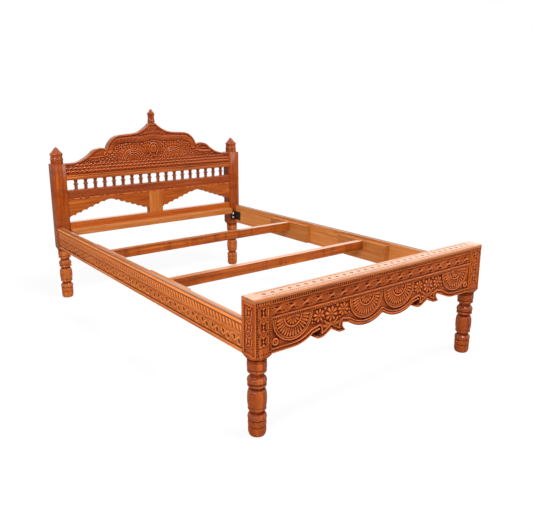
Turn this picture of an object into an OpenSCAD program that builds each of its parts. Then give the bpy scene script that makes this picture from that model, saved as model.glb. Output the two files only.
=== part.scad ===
// Carved teak bed on four turned legs, with a spindle gallery in the headboard,
// a scalloped and carved footboard, bolted side rails and two drop-in cross bearers.
// X runs left to right, Y from foot to head, Z up. The origin is on the floor,
// under the middle of the bed.

/* [Overall] */
// Width over the outer faces of the posts
bed_w = 1285; // [1200:5:1400]
// Length over the outer faces of the posts
bed_l = 2010; // [1850:5:2250]
// Side of the square posts
post = 75; // [70:1:90]
// Small chamfer along the edges of the posts
post_chamfer = 2; // [1:0.5:4]
// Gap round every tenon, dowel and shank
joint_gap = 0.25; // [0.1:0.05:0.6]

/* [Turned legs] */
// Height of the turned leg, from the floor to the square block
leg_h = 313; // [290:1:360]
// Largest radius of the turning
leg_r = 36; // [33:0.5:37]
// Radius at the narrow necks
leg_neck_r = 28; // [24:0.5:30]
// Radius at the bottom of the foot
foot_r = 24; // [20:0.5:27]
// Height of the rounded foot
foot_bulb_h = 38; // [30:1:48]
// Height of the lower drum
lower_drum_h = 20; // [14:1:26]
// Height of the thick torus rings
torus_h = 19; // [16:1:24]
// Height of the long coves
cove_h = 20; // [14:1:22]
// Height of the thin rings
ring_h = 10; // [8:1:12]
// Height of the upper drum
upper_drum_h = 26; // [20:1:32]
// Height of the collar under the square block
collar_h = 10; // [7:1:14]
// Width of the cut grooves between the turned rings
groove_w = 3; // [2:0.5:4]
// Depth of the cut grooves
groove_d = 3; // [1.5:0.5:4]
// Height over which the round collar runs out into the square block
tongue_h = 13; // [8:1:18]

/* [Headboard] */
// Thickness of the boards in the headboard
head_board_t = 38; // [32:1:44]
// How far the headboard is set back from the front of the posts
head_inset = 5; // [3:0.5:8]
// Bottom of the lower rail
head_rail_z = 379; // [372:1:385]
// Height of the lower rail
head_rail_h = 79; // [70:1:90]
// Width of the plain upright between the two arches
muntin_w = 94; // [80:1:110]
// Height of the opening at the ends of the arches
arch_end_gap = 26; // [20:1:32]
// Height of the arches from their ends to the last cusp
arch_rise = 78; // [70:1:84]
// Height of the peak over the last cusp
arch_peak = 12; // [8:1:14]
// Foils on each side of an arch
arch_foils = 6; // [5:1:7]
// Half width of the middle foil
arch_mid = 41; // [35:1:46]
// Depth of each small foil
foil_depth = 8; // [5:0.5:9]
// Height of the carved rail under the spindles
carved_rail_h = 56; // [50:1:60]
// Thinnest part of the aprons, over the peaks of the arches
apron_web = 18; // [15:1:24]
// Clear height of the spindle gallery
gallery_h = 59; // [54:1:70]
// Height of the moulded rail over the spindles
top_rail_h = 30; // [26:1:34]
// How far the moulded rail stands in front of the boards
top_rail_step = 4; // [2:0.5:5]

/* [Crest] */
// Height of the crest over the moulded rail, at the posts
crest_end_h = 67; // [62:1:72]
// Height of the low shoulders
crest_shoulder_h = 145; // [138:1:152]
// Height of the upper tier
crest_tier_h = 220; // [210:1:228]
// Height of the middle peak
crest_peak_h = 278; // [268:1:288]
// Half width of the upper tier
crest_tier_x = 309; // [290:1:325]
// Width of the low shoulder beside the upper tier
crest_shoulder_w = 91; // [80:1:100]
// Half width of the sweep under the middle finial
crest_sweep_x = 110; // [100:1:125]
// Radius of the half-round flowers on the crest
flower_r = 80; // [70:1:84]
// Radius of the core of those flowers
flower_core_r = 48; // [38:1:50]
// Distance of those flowers from the middle
flower_x = 138; // [128:1:150]
// Height of their middles over the moulded rail
flower_z = 53; // [46:1:60]
// Half width of the oval boss in the middle of the crest
boss_w = 25; // [18:1:28]
// Half height of the oval boss
boss_h = 28; // [22:1:34]
// Height of the middle of the boss over the moulded rail
boss_z = 124; // [112:1:136]
// Depth of the raised band along the top edge
crest_band = 14; // [10:1:20]
// Height of that band over the carved ground
crest_relief = 3; // [2:0.5:4]

/* [Spindles and finials] */
// Largest radius of a spindle
spindle_r = 14; // [12:0.5:15.5]
// Neck radius of a spindle
spindle_neck_r = 8.5; // [7:0.5:9.5]
// Radius of the round tenon on a spindle
spindle_pin_r = 5; // [4:0.5:6]
// Length of the round tenon on a spindle
spindle_pin_l = 12; // [8:1:14]
// Height of the post finials
finial_h = 96; // [84:1:110]
// Largest radius of the post finials
finial_r = 37; // [33:0.5:37]
// Radius of the dowel under a post finial
finial_pin_r = 12; // [10:0.5:14]
// Length of the dowel under a post finial
finial_pin_l = 30; // [22:1:34]
// Height of the finial in the middle of the crest
bud_h = 88; // [76:1:96]
// Largest radius of the middle finial
bud_r = 24; // [21:0.5:26]
// Radius of the dowel under the middle finial
bud_pin_r = 7; // [6:0.5:8]
// Length of the dowel under the middle finial
bud_pin_l = 30; // [20:1:35]

/* [Footboard] */
// Height of the foot posts under the cap
foot_post_h = 511; // [495:1:530]
// Thickness of the cap
cap_t = 14; // [12:0.5:18]
// Rounding along the front and back edges of the cap
cap_round = 5; // [3:0.5:6]
// Radius of the stub on each foot post that enters the cap
cap_pin_r = 11; // [9:0.5:13]
// Length of that stub
cap_pin_l = 8; // [6:0.5:9]
// Height of the rail with the leaf band
foot_rail_h = 68; // [60:1:74]
// Thickness of the boards in the footboard
foot_board_t = 42; // [36:1:48]
// How far the foot rail is set back from the front of the posts
foot_inset = 3; // [2:0.5:5]
// How far the ground of the carved apron lies behind the rail
apron_inset = 6; // [5:0.5:8]
// Lowest line of the apron over the floor
apron_z = 312; // [305:1:318]
// Half width of the scalloped lobes under the medallions
lobe_w = 94.5; // [90:0.5:98]
// Distance of the outer medallions from the posts
lotus_end = 100; // [96:1:108]
// Radius of the half-round lotus medallions
lotus_r = 91.5; // [84:0.5:94]
// Radius of the inner disc of a medallion
lotus_core_r = 41; // [34:1:46]
// Width of the ring round a medallion
lotus_ring = 15; // [11:1:18]
// Height of the medallions over the ground
lotus_relief = 5; // [3:0.5:5]
// Petals in each medallion
lotus_petals = 13; // [9:1:17]
// Height of the strip over the medallions
lotus_strip = 11; // [8:1:16]
// Height of the cusps between the big lobes
lobe_rise = 30; // [24:1:36]
// Width of the slots between the lobes and the leafy drops
drop_slot = 18; // [12:1:24]
// Length of the hooked tips of a drop
drop_hook = 13; // [9:1:16]
// Height of the notches beside the drop
drop_notch = 37; // [32:1:40]
// Height of the middle cusp of the drop
drop_cusp = 26; // [20:1:30]

/* [Side rails] */
// Bottom of the side rails
rail_z = 312; // [306:1:318]
// Height of the side rails
rail_h = 122; // [114:1:134]
// Thickness of the side rails
rail_t = 30; // [26:1:36]
// Depth of the recessed bands on the outer face
rail_recess = 3; // [2:0.5:4]
// Height of the plain lip at the top
rail_lip = 16; // [12:1:20]
// Height of the fluted band
rail_flute_h = 27; // [22:1:30]
// Height of the bead between the bands
rail_bead_h = 12; // [9:1:14]
// Height of the band of leaf scrolls
rail_scroll_h = 42; // [36:1:46]

/* [Bearers] */
// Width of the two cross bearers
bearer_w = 34; // [30:1:44]
// Height of the two cross bearers
bearer_h = 46; // [40:1:56]
// Top of the bearers, blocks and ledgers, where the bed base rests
seat_z = 420; // [412:1:424]
// Length of the notched hanger blocks
block_l = 350; // [300:5:400]
// Thickness of the hanger blocks
block_t = 30; // [24:1:36]
// Height of the hanger blocks
block_h = 102; // [94:1:108]
// Gap on each side of a bearer in its notch
notch_gap = 0.5; // [0.3:0.1:1]
// Gap between the end of a bearer and the side rail
end_gap = 1; // [0.5:0.1:2]
// Depth of the ledgers under the base at head and foot
ledger_d = 30; // [24:1:30]
// Height of the ledgers
ledger_h = 36; // [30:1:42]
// Rounding along the free top edge of the ledgers
ledger_round = 8; // [5:1:10]

/* [Joints and fixings] */
// Thickness of the flat tenons
tenon_t = 12; // [9:1:14]
// Length of the flat tenons
tenon_l = 45; // [36:1:50]
// Shoulder above and below a tenon
tenon_shoulder = 8; // [5:1:10]
// Radius of the pegs that lock the tenons
peg_r = 4; // [3:0.5:5]
// Thickness of the steel corner brackets
bracket_t = 5; // [4:0.5:6]
// Height of the corner brackets
bracket_h = 56; // [50:1:66]
// Length of the bracket leg on the side rail
bracket_rail_leg = 60; // [50:1:75]
// Length of the bracket leg on the post
bracket_post_leg = 43; // [38:1:44]
// Middle height of the brackets
bracket_z = 363; // [355:1:372]
// Spacing of the two bolts in a bracket
bolt_pitch = 27; // [22:1:32]
// Radius of the bolt shanks
bolt_r = 4; // [3:0.5:5]
// Length of the bolt shanks
bolt_l = 38; // [30:1:40]
// Radius of the bolt heads
bolt_head_r = 7.5; // [6.5:0.5:9]
// Height of the bolt heads
bolt_head_h = 6; // [5:0.5:8]
// Radius of the wood screws
screw_r = 2; // [1.5:0.25:3]
// Radius of the screw heads
screw_head_r = 4; // [3.5:0.25:5]
// Height of the screw heads
screw_head_h = 2.5; // [2:0.25:3]
// Depth of the screw points in the wood behind
screw_bite = 18; // [12:1:20]

/* [Hidden] */
$fn = 64;
teak = "#b5622a";
teak_dark = "#9c4a20";
teak_pale = "#c98a5a";
steel = "#4a3a36";
bright_steel = "#c9c6c0";

// The spindles are numbered from the left
spindle_count = 18;
function spindle_name(i) = str(i < 9 ? "spindle_0" : "spindle_", i + 1);
SPINDLES = [for (i = [0:spindle_count - 1]) spindle_name(i)];

// Places shared by the pieces
leg_x = (bed_w - post) / 2;
leg_y = (bed_l - post) / 2;
inner_x = leg_x - post / 2;
inner_y = leg_y - post / 2;
head_face = inner_y + head_inset;
head_mid = head_face + head_board_t / 2;
foot_face = -leg_y - post / 2 + foot_inset;
foot_mid = foot_face + foot_board_t / 2;
foot_back = foot_face + foot_board_t;
apron_face = foot_face + apron_inset;
rail_in = bed_w / 2 - rail_t;
rail_top = rail_z + rail_h;
head_rail_top = head_rail_z + head_rail_h;
arch_z = head_rail_top + arch_end_gap;
apron_top = arch_z + arch_rise + arch_peak + apron_web;
gallery_z = apron_top + carved_rail_h;
gallery_top = gallery_z + gallery_h;
crest_z = gallery_top + top_rail_h;
head_post_h = crest_z + crest_end_h;
spindle_pitch = 2 * inner_x / (spindle_count + 1);
foot_rail_z = foot_post_h - foot_rail_h;
bearer_y = inner_y / 3;
block_z = seat_z - block_h;
notch_z = seat_z - bearer_h;
lotus_out = inner_x - lotus_end;
lotus_z = foot_rail_z - lotus_strip;
drop_mid = (lobe_w + lotus_out) / 2;
drop_tip_x = (lotus_out - lobe_w) / 2 - lobe_w - drop_slot;
drop_x = drop_tip_x - drop_hook;

// Points of the arc from a to c that passes through b
function arc_through(a, b, c, n = 12) =
    let (
        d = 2 * (a.x * (b.y - c.y) + b.x * (c.y - a.y) + c.x * (a.y - b.y)),
        ux = ((a * a) * (b.y - c.y) + (b * b) * (c.y - a.y) + (c * c) * (a.y - b.y)) / d,
        uy = ((a * a) * (c.x - b.x) + (b * b) * (a.x - c.x) + (c * c) * (b.x - a.x)) / d,
        r = norm(a - [ux, uy]),
        start = atan2(a.y - uy, a.x - ux),
        turn_b = atan2(b.y - uy, b.x - ux) - start,
        turn_c = atan2(c.y - uy, c.x - ux) - start,
        left_b = turn_b < 0 ? turn_b + 360 : turn_b,
        left_c = turn_c < 0 ? turn_c + 360 : turn_c,
        sweep = left_b < left_c ? left_c : left_c - 360
    )
    [for (i = [0:n]) [ux + r * cos(start + sweep * i / n), uy + r * sin(start + sweep * i / n)]];

// Points of an arc round c, between two angles
function arc(c, r, from, to, n = 6) =
    [for (i = [0:n]) c + r * [cos(from + (to - from) * i / n), sin(from + (to - from) * i / n)]];

// Turned outlines as [radius, height] points: a swelling ring and a hollow
function bead(z, h, r, bulge, n = 8) =
    [for (i = [0:n]) [r + bulge * sin(180 * i / n), z + h * (1 - cos(180 * i / n)) / 2]];
function cove(z, h, r, depth, n = 8) =
    [for (i = [0:n]) [r - depth * sin(180 * i / n), z + h * i / n]];

module right_or_left(side) {
    if (side > 0) children();
    else mirror([1, 0, 0]) children();
}

module head_or_foot(side) {
    if (side > 0) children();
    else mirror([0, 1, 0]) children();
}

// Upright board drawn in X and Z, with its front face at y and its body behind
module upright(y, t) {
    translate([0, y + t, 0]) rotate([90, 0, 0]) linear_extrude(t) children();
}

// Heights of the flat tenons, bottom and top, on the head and foot posts
HEAD_TENONS = [
    [head_rail_z, head_rail_top],
    [arch_z + tenon_shoulder, apron_top],
    [apron_top, gallery_z],
    [gallery_top, crest_z],
    [crest_z, head_post_h - finial_pin_l - 2]
];
FOOT_TENONS = [
    [apron_z + 2 * tenon_shoulder, foot_rail_z],
    [foot_rail_z, foot_post_h]
];

module tenon(y, span, gap = 0) {
    translate([inner_x - 1, y - tenon_t / 2 - gap, span[0] + tenon_shoulder - gap])
        cube([tenon_l + 1 + gap, tenon_t + 2 * gap, span[1] - span[0] - 2 * (tenon_shoulder - gap)]);
}

module both_tenons(y, span) {
    for (side = [-1, 1]) right_or_left(side) tenon(y, span);
}

// The turned stack from the floor up; the barrel takes the height that is left
barrel_h = leg_h - tongue_h - foot_bulb_h - lower_drum_h - 2 * torus_h - 2.9 * cove_h
    - 3 * ring_h - upper_drum_h - collar_h - 5 * groove_w;
z_drum = foot_bulb_h + groove_w;
z_torus = z_drum + lower_drum_h + groove_w;
z_ring = z_torus + torus_h + cove_h;
z_barrel = z_ring + ring_h;
z_mid_ring = z_barrel + barrel_h + cove_h * 0.75;
z_mid_torus = z_mid_ring + ring_h + groove_w;
z_top_ring = z_mid_torus + torus_h + cove_h * 1.15;
z_upper = z_top_ring + ring_h + groove_w;
z_collar = z_upper + upper_drum_h + groove_w;
cove_d = leg_r - 2 - leg_neck_r;
leg_outline = concat(
    [[0, 0], [foot_r, 0]],
    [for (a = [10:10:90]) [foot_r + (leg_r - 2.5 - foot_r) * sin(a), foot_bulb_h * 0.6 * (1 - cos(a))]],
    [[leg_r - 3, foot_bulb_h], [leg_r - groove_d - 1, foot_bulb_h + groove_w / 2]],
    bead(z_drum, lower_drum_h, leg_r - 3, 1),
    [[leg_r - groove_d - 1, z_torus - groove_w / 2]],
    bead(z_torus, torus_h, leg_r - 4, 3),
    cove(z_torus + torus_h, cove_h, leg_r - 3, cove_d),
    bead(z_ring, ring_h, leg_r - 3.5, 1.5),
    bead(z_barrel, barrel_h, leg_r - 5, 5, 12),
    cove(z_barrel + barrel_h, cove_h * 0.75, leg_r - 4, cove_d - 2),
    bead(z_mid_ring, ring_h, leg_r - 3, 2),
    [[leg_r - groove_d - 1, z_mid_torus - groove_w / 2]],
    bead(z_mid_torus, torus_h, leg_r - 4, 4),
    cove(z_mid_torus + torus_h, cove_h * 1.15, leg_r - 3, cove_d),
    bead(z_top_ring, ring_h, leg_r - 3, 2.5),
    [[leg_r - groove_d, z_upper - groove_w / 2]],
    bead(z_upper, upper_drum_h, leg_r - 1, 1),
    [[leg_r - groove_d, z_collar - groove_w / 2]],
    [[leg_r - 0.5, z_collar], [leg_r - 0.5, z_collar + collar_h]],
    [[post * 0.72, leg_h], [0, leg_h]]
);

module square_section() {
    s = post / 2;
    c = s - post_chamfer;
    polygon([[s, -c], [s, c], [c, s], [-c, s], [-s, c], [-s, -c], [-c, -s], [c, -s]]);
}

// Square post with its turned leg, in place at the right-hand side
module post_body(y, top) {
    translate([leg_x, y, 0]) {
        intersection() {
            rotate_extrude() polygon(leg_outline);
            linear_extrude(leg_h) square_section();
        }
        translate([0, 0, leg_h]) linear_extrude(top - leg_h) square_section();
    }
}

// Axes of the two bolts from a bracket into the right-hand head post
module bolt_axes() {
    x = rail_in - (bracket_post_leg + bracket_t) / 2;
    for (dz = [-1, 1]) translate([x, inner_y, bracket_z + dz * bolt_pitch / 2]) children();
}

module bolt_holes() {
    bolt_axes() translate([0, -1, 0]) rotate([-90, 0, 0])
        cylinder(r = bolt_r + joint_gap, h = bolt_l + 1 + joint_gap);
}

module head_post(side) {
    color(teak) right_or_left(side) difference() {
        post_body(leg_y, head_post_h);
        for (span = HEAD_TENONS) tenon(head_mid, span, joint_gap);
        translate([leg_x, leg_y, head_post_h - finial_pin_l - joint_gap])
            cylinder(r = finial_pin_r + joint_gap, h = finial_pin_l + 1);
        bolt_holes();
        peg_hole(1);
    }
}

module foot_post(side) {
    color(teak) right_or_left(side) difference() {
        union() {
            post_body(-leg_y, foot_post_h);
            translate([leg_x, -leg_y, foot_post_h - 1]) cylinder(r = cap_pin_r, h = cap_pin_l + 1);
        }
        for (span = FOOT_TENONS) tenon(foot_mid, span, joint_gap);
        mirror([0, 1, 0]) bolt_holes();
        peg_hole(-1);
    }
}

// Pagoda-roofed finials: a waisted drum, a rim and a concave roof with a pointed cap
function finial_outline(h, r) = concat(
    [[0, 0], [r * 0.97, 0], [r * 0.94, h * 0.14]],
    bead(h * 0.22, h * 0.08, r * 0.94, r * 0.05),
    cove(h * 0.32, h * 0.22, r * 0.95, r * 0.06),
    [[r, h * 0.58]],
    arc_through([r * 0.97, h * 0.62], [r * 0.66, h * 0.74], [r * 0.4, h * 0.86], 6),
    arc_through([r * 0.36, h * 0.88], [r * 0.2, h * 0.955], [0, h], 5)
);

module head_finial(side) {
    color(teak_dark) right_or_left(side) translate([leg_x, leg_y, head_post_h]) {
        rotate_extrude() polygon(finial_outline(finial_h, finial_r));
        translate([0, 0, -finial_pin_l]) cylinder(r = finial_pin_r, h = finial_pin_l + 1);
    }
}

// Slim bud on a neck, in the middle of the crest
function bud_outline(h, r) = concat(
    [[0, 0], [r * 0.88, 0]],
    bead(h * 0.06, h * 0.16, r * 0.85, r * 0.1),
    cove(h * 0.24, h * 0.36, r * 0.88, r * 0.06),
    [[r * 0.95, h * 0.64], [r, h * 0.68]],
    arc_through([r * 0.94, h * 0.72], [r * 0.62, h * 0.8], [r * 0.42, h * 0.88], 6),
    arc_through([r * 0.38, h * 0.9], [r * 0.24, h * 0.96], [0, h], 5)
);

bud_z = crest_z + crest_peak_h;

module crest_finial() {
    color(teak_dark) translate([0, head_mid, bud_z]) {
        rotate_extrude() polygon(bud_outline(bud_h, bud_r));
        translate([0, 0, -bud_pin_l]) cylinder(r = bud_pin_r, h = bud_pin_l + 1);
    }
}

// Right half of the crest, from the middle peak out to the post
crest_half = concat(
    [[bud_r * 0.92, crest_z + crest_peak_h]],
    arc_through(
        [bud_r, crest_z + crest_peak_h - 4],
        [crest_sweep_x * 0.49, crest_z + crest_tier_h + 32],
        [crest_sweep_x, crest_z + crest_tier_h + 6.5], 12
    ),
    [[crest_tier_x * 0.5, crest_z + crest_tier_h]],
    arc_through(
        [crest_tier_x - 82, crest_z + crest_tier_h - 4],
        [crest_tier_x - 32, crest_z + crest_tier_h - 30],
        [crest_tier_x - 6, crest_z + crest_shoulder_h + 8], 12
    ),
    [[crest_tier_x, crest_z + crest_shoulder_h - 7]],
    arc_through(
        [crest_tier_x + 4, crest_z + crest_shoulder_h - 5],
        [crest_tier_x + crest_shoulder_w * 0.46, crest_z + crest_shoulder_h],
        [crest_tier_x + crest_shoulder_w, crest_z + crest_shoulder_h - 18], 10
    ),
    arc_through(
        [crest_tier_x + crest_shoulder_w + 4, crest_z + crest_shoulder_h - 22],
        [(inner_x - 26 + crest_tier_x + crest_shoulder_w) / 2 - 20, crest_z + crest_end_h + 22],
        [inner_x - 26, crest_z + crest_end_h], 12
    ),
    [[inner_x, crest_z + crest_end_h]]
);
crest_outline = concat([[inner_x, crest_z]], [for (i = [len(crest_half) - 1:-1:0]) crest_half[i]],
    [for (p = crest_half) [-p.x, p.y]], [[-inner_x, crest_z]]);

module crest_board() {
    color(teak) difference() {
        union() {
            upright(head_face + crest_relief, head_board_t - crest_relief) polygon(crest_outline);
            upright(head_face, crest_relief + 1) difference() {
                polygon(crest_outline);
                translate([0, -crest_band]) polygon(crest_outline);
            }
            for (side = [-1, 1]) translate([side * flower_x, head_face + crest_relief, crest_z + flower_z])
                mirror([0, 0, 1]) half_flower(flower_r, flower_core_r, crest_relief, 9);
            upright(head_face, crest_relief + 1) translate([0, crest_z + boss_z])
                polygon([for (a = [0:10:350]) [boss_w * cos(a), boss_h * sin(a)]]);
            both_tenons(head_mid, HEAD_TENONS[4]);
        }
        translate([0, head_mid, bud_z - bud_pin_l - joint_gap])
            cylinder(r = bud_pin_r + joint_gap, h = bud_pin_l + 1);
    }
}

// Middles of the spindles, counted from the left
function spindle_x(i) = (i - (spindle_count - 1) / 2) * spindle_pitch;

module spindle_sockets(z) {
    for (i = [0:spindle_count - 1]) translate([spindle_x(i), head_mid, z])
        cylinder(r = spindle_pin_r + joint_gap, h = spindle_pin_l + joint_gap + 1);
}

// Moulded rail over the spindles: a bead along the top and a rounded face under it
module gallery_top_rail() {
    face = head_face - top_rail_step;
    color(teak_pale) difference() {
        union() {
            translate([-inner_x, 0, gallery_top]) rotate([90, 0, 90])
                linear_extrude(2 * inner_x) polygon(concat(
                    [[head_face + head_board_t, 0], [head_face + head_board_t, top_rail_h]],
                    arc([face + 4, top_rail_h - 4], 4, 90, 250),
                    [for (a = [0:15:90]) [face + 5 * (1 - sin(a)), top_rail_h - 9 - 13 * (1 - cos(a))]],
                    [[face, 3], [face + 2, 0]]
                ));
            both_tenons(head_mid, HEAD_TENONS[3]);
        }
        spindle_sockets(gallery_top - 1);
    }
}

ridge_h = 6;

module gallery_bottom_rail() {
    color(teak_dark) difference() {
        union() {
            translate([-inner_x, head_face, apron_top]) cube([2 * inner_x, head_board_t, carved_rail_h]);
            translate([-inner_x, head_face - 2, apron_top]) cube([2 * inner_x, 3, ridge_h]);
            both_tenons(head_mid, HEAD_TENONS[2]);
        }
        spindle_sockets(gallery_z - spindle_pin_l - joint_gap);
        muntin_pin_at(apron_top + muntin_pin, joint_gap);
    }
}

spindle_outline = let (h = gallery_h, r = spindle_r, n = spindle_neck_r) concat(
    [[0, 0], [r - 2, 0], [r - 2, h * 0.06]],
    [[n, h * 0.15]],
    bead(h * 0.18, h * 0.18, n, 2, 6),
    [[n, h * 0.4]],
    bead(h * 0.43, h * 0.22, n + 1, r - n - 1, 8),
    [[n, h * 0.69], [n + 0.5, h * 0.76], [r - 2.5, h * 0.86], [r - 1.5, h * 0.9], [r - 1.5, h], [0, h]]
);

module spindle(i) {
    color(teak) translate([spindle_x(i), head_mid, gallery_z]) {
        rotate_extrude($fn = 40) polygon(spindle_outline);
        translate([0, 0, -spindle_pin_l]) cylinder(r = spindle_pin_r, h = 2 * spindle_pin_l + gallery_h);
    }
}

// Lower edge of one apron board: small foils with cusps between them and a middle foil
arch_w = inner_x - muntin_w / 2;
arch_x = muntin_w / 2 + arch_w / 2;
arch_run = arch_w / 2 - arch_mid;
function cusp(i) = [arch_mid + arch_run * i / arch_foils, arch_z + arch_rise * (1 - i / arch_foils)];
function foil(i) = let (a = cusp(i + 1), b = cusp(i), m = (a + b) / 2)
    arc_through(a, m + foil_depth * [arch_rise, arch_run] / norm([arch_rise, arch_run]), b, 6);
arch_right = [for (i = [arch_foils - 1:-1:0], k = [0:5]) foil(i)[k]];
arch_crown = arc_through([arch_mid, arch_z + arch_rise], [0, arch_z + arch_rise + arch_peak],
    [-arch_mid, arch_z + arch_rise], 8);
arch_left = [for (i = [len(arch_right) - 1:-1:0]) [-arch_right[i].x, arch_right[i].y]];
arch_outline = concat(arch_right, arch_crown, arch_left);

module head_apron(side) {
    color(teak) right_or_left(side) {
        upright(head_face, head_board_t) translate([arch_x, 0]) polygon(concat(
            [[arch_w / 2, apron_top]], arch_outline, [[-arch_w / 2, apron_top]]
        ));
        tenon(head_mid, HEAD_TENONS[1]);
        translate([muntin_w / 2 - muntin_tongue, head_mid - tenon_t / 2, arch_z + tenon_shoulder])
            cube([muntin_tongue + 1, tenon_t, apron_top - arch_z - 2 * tenon_shoulder]);
    }
}

// Plain upright between the arches, grooved for the tongues of the aprons
muntin_tongue = 12;
muntin_pin = 20;

// Flat pin on the muntin, with its far end at the given height
module muntin_pin_at(z, gap = 0) {
    low = z > head_rail_top ? apron_top - 1 : z - gap;
    high = z > head_rail_top ? z + gap : head_rail_top + 1;
    translate([-muntin_w / 4 - gap, head_mid - tenon_t / 2 - gap, low])
        cube([muntin_w / 2 + 2 * gap, tenon_t + 2 * gap, high - low]);
}

module head_muntin() {
    color(teak) difference() {
        union() {
            translate([-muntin_w / 2, head_face, head_rail_top])
                cube([muntin_w, head_board_t, apron_top - head_rail_top]);
            muntin_pin_at(head_rail_top - muntin_pin);
            muntin_pin_at(apron_top + muntin_pin);
        }
        for (side = [-1, 1]) right_or_left(side)
            translate([muntin_w / 2 - muntin_tongue - joint_gap, head_mid - tenon_t / 2 - joint_gap,
                arch_z + tenon_shoulder - joint_gap])
                cube([muntin_tongue + 1 + joint_gap, tenon_t + 2 * joint_gap,
                    apron_top - arch_z - 2 * (tenon_shoulder - joint_gap)]);
    }
}

module head_lower_rail() {
    color(teak) difference() {
        union() {
            translate([-inner_x, head_face, head_rail_z]) cube([2 * inner_x, head_board_t, head_rail_h]);
            both_tenons(head_mid, HEAD_TENONS[0]);
        }
        muntin_pin_at(head_rail_top - muntin_pin, joint_gap);
        ledger_screw_axes(1) screw_hole(ledger_d);
        for (side = [-1, 1]) right_or_left(side) peg_hole(1);
    }
}

// Cap over the whole footboard, with stub holes for the posts
module foot_cap() {
    y0 = -leg_y - post / 2;
    color(teak_pale) difference() {
        translate([-bed_w / 2, y0, foot_post_h]) rotate([90, 0, 90]) linear_extrude(bed_w) polygon(concat(
            arc([cap_round, cap_t - cap_round], cap_round, 180, 90),
            arc([post - cap_round, cap_t - cap_round], cap_round, 90, 0),
            [[post, 0], [0, 0]]
        ));
        for (side = [-1, 1]) translate([side * leg_x, -leg_y, foot_post_h - 1])
            cylinder(r = cap_pin_r + joint_gap, h = cap_pin_l + joint_gap + 1);
    }
}

// Upper rail of the footboard: a broad band between two rows of beads
foot_fillet = 4;
bead_row_h = 13;

module foot_rail() {
    color(teak) difference() {
        union() {
            translate([-inner_x, foot_face + 2, foot_rail_z])
                cube([2 * inner_x, foot_board_t - 2, foot_rail_h]);
            for (z = [foot_rail_z, foot_post_h - bead_row_h - foot_fillet])
                translate([-inner_x, foot_face, z]) cube([2 * inner_x, 3, foot_fillet]);
            both_tenons(foot_mid, FOOT_TENONS[1]);
        }
        ledger_screw_axes(-1) screw_hole(ledger_d);
    }
}

// Right half of the apron's lower edge: a lobe, a hooked leafy drop and the outer lobe
function lobe(x) = arc_through(
    [x - lobe_w, apron_z + lobe_rise], [x, apron_z], [x + lobe_w, apron_z + lobe_rise], 16
);
drop_half = concat(
    [[drop_x, apron_z + drop_notch], [drop_x - 2, apron_z + drop_notch - 12]],
    arc_through([drop_tip_x, apron_z + 5], [drop_x * 0.72, apron_z + 1], [drop_x * 0.3, apron_z + 12], 8)
);
drop_outline = concat(
    [for (p = drop_half) [drop_mid - p.x, p.y]],
    [[drop_mid, apron_z + drop_cusp]],
    [for (i = [len(drop_half) - 1:-1:0]) [drop_mid + drop_half[i].x, drop_half[i].y]]
);
inner_lobe = lobe(lobe_w);
outer_lobe = [for (p = lobe(lotus_out)) if (p.x < lotus_out + 0.01) p];
apron_half = concat([for (i = [1:16]) inner_lobe[i]], drop_outline, outer_lobe, [[inner_x, apron_z]]);
apron_outline = concat(
    [[-inner_x, foot_rail_z]],
    [for (i = [len(apron_half) - 1:-1:0]) [-apron_half[i].x, apron_half[i].y]],
    [inner_lobe[0]],
    apron_half,
    [[inner_x, foot_rail_z]]
);

// Lower half of a lotus: a ring, a fan of petals parted by grooves, and a raised core
module half_flower(r, core, relief, petals) {
    difference() {
        rotate([90, 0, 0]) rotate_extrude() polygon([
            [0, -1], [r, -1], [r, relief * 0.6], [r - 3, relief], [r - lotus_ring + 2, relief],
            [r - lotus_ring, relief * 0.4], [core + 12, relief * 0.8], [core + 3, relief * 0.3],
            [core, relief * 0.3], [core - 5, relief], [0, relief * 0.8]
        ]);
        translate([-r - 1, -relief - 1, 0]) cube([2 * r + 2, relief + 4, r + 1]);
        for (i = [1:petals - 1]) rotate([0, 180 * i / petals, 0])
            translate([core + 4, -relief * 0.75, 0]) rotate([0, 90, 0])
                cylinder(r = relief * 0.4, h = r - lotus_ring - core - 6, $fn = 24);
    }
}

module foot_apron() {
    color(teak) difference() {
        union() {
            upright(apron_face, foot_back - apron_face) polygon(apron_outline);
            for (x = [-lotus_out, -lobe_w, lobe_w, lotus_out]) translate([x, apron_face, lotus_z])
                half_flower(lotus_r, lotus_core_r, lotus_relief, lotus_petals);
            translate([-inner_x, apron_face - lotus_relief, lotus_z])
                cube([2 * inner_x, lotus_relief + 1, foot_fillet]);
            both_tenons(foot_mid, FOOT_TENONS[0]);
        }
        ledger_screw_axes(-1) screw_hole(ledger_d);
        for (side = [-1, 1]) right_or_left(side) peg_hole(-1);
    }
}

// Side rail section in X and Z, outer face to the right: lip, flutes, bead and scroll band
module rail_section() {
    x0 = rail_in;
    x1 = bed_w / 2;
    xr = x1 - rail_recess;
    z1 = rail_top - rail_lip;
    z2 = z1 - rail_flute_h;
    z3 = z2 - rail_bead_h;
    z4 = z3 - rail_scroll_h;
    bead_half = rail_bead_h / 2 - 1;
    polygon(concat(
        [[x0, rail_z], [x1, rail_z], [x1, z4], [xr, z4 + 2], [xr, z3 - 1]],
        [for (a = [-90:30:90]) [xr + rail_recess * cos(a), (z2 + z3) / 2 + bead_half * sin(a)]],
        [[xr, z2 + 1], [xr, z1 - 2], [x1, z1]],
        arc([x1 - 6, rail_top - 6], 6, 0, 90),
        [[x0, rail_top]]
    ));
}

module side_rail(side) {
    color(teak) right_or_left(side) difference() {
        upright(-inner_y, 2 * inner_y) rail_section();
        for (end = [-1, 1]) head_or_foot(end) {
            rail_screw_axes() screw_hole(bracket_t);
            block_screw_axes() screw_hole(block_t);
        }
    }
}

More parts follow.
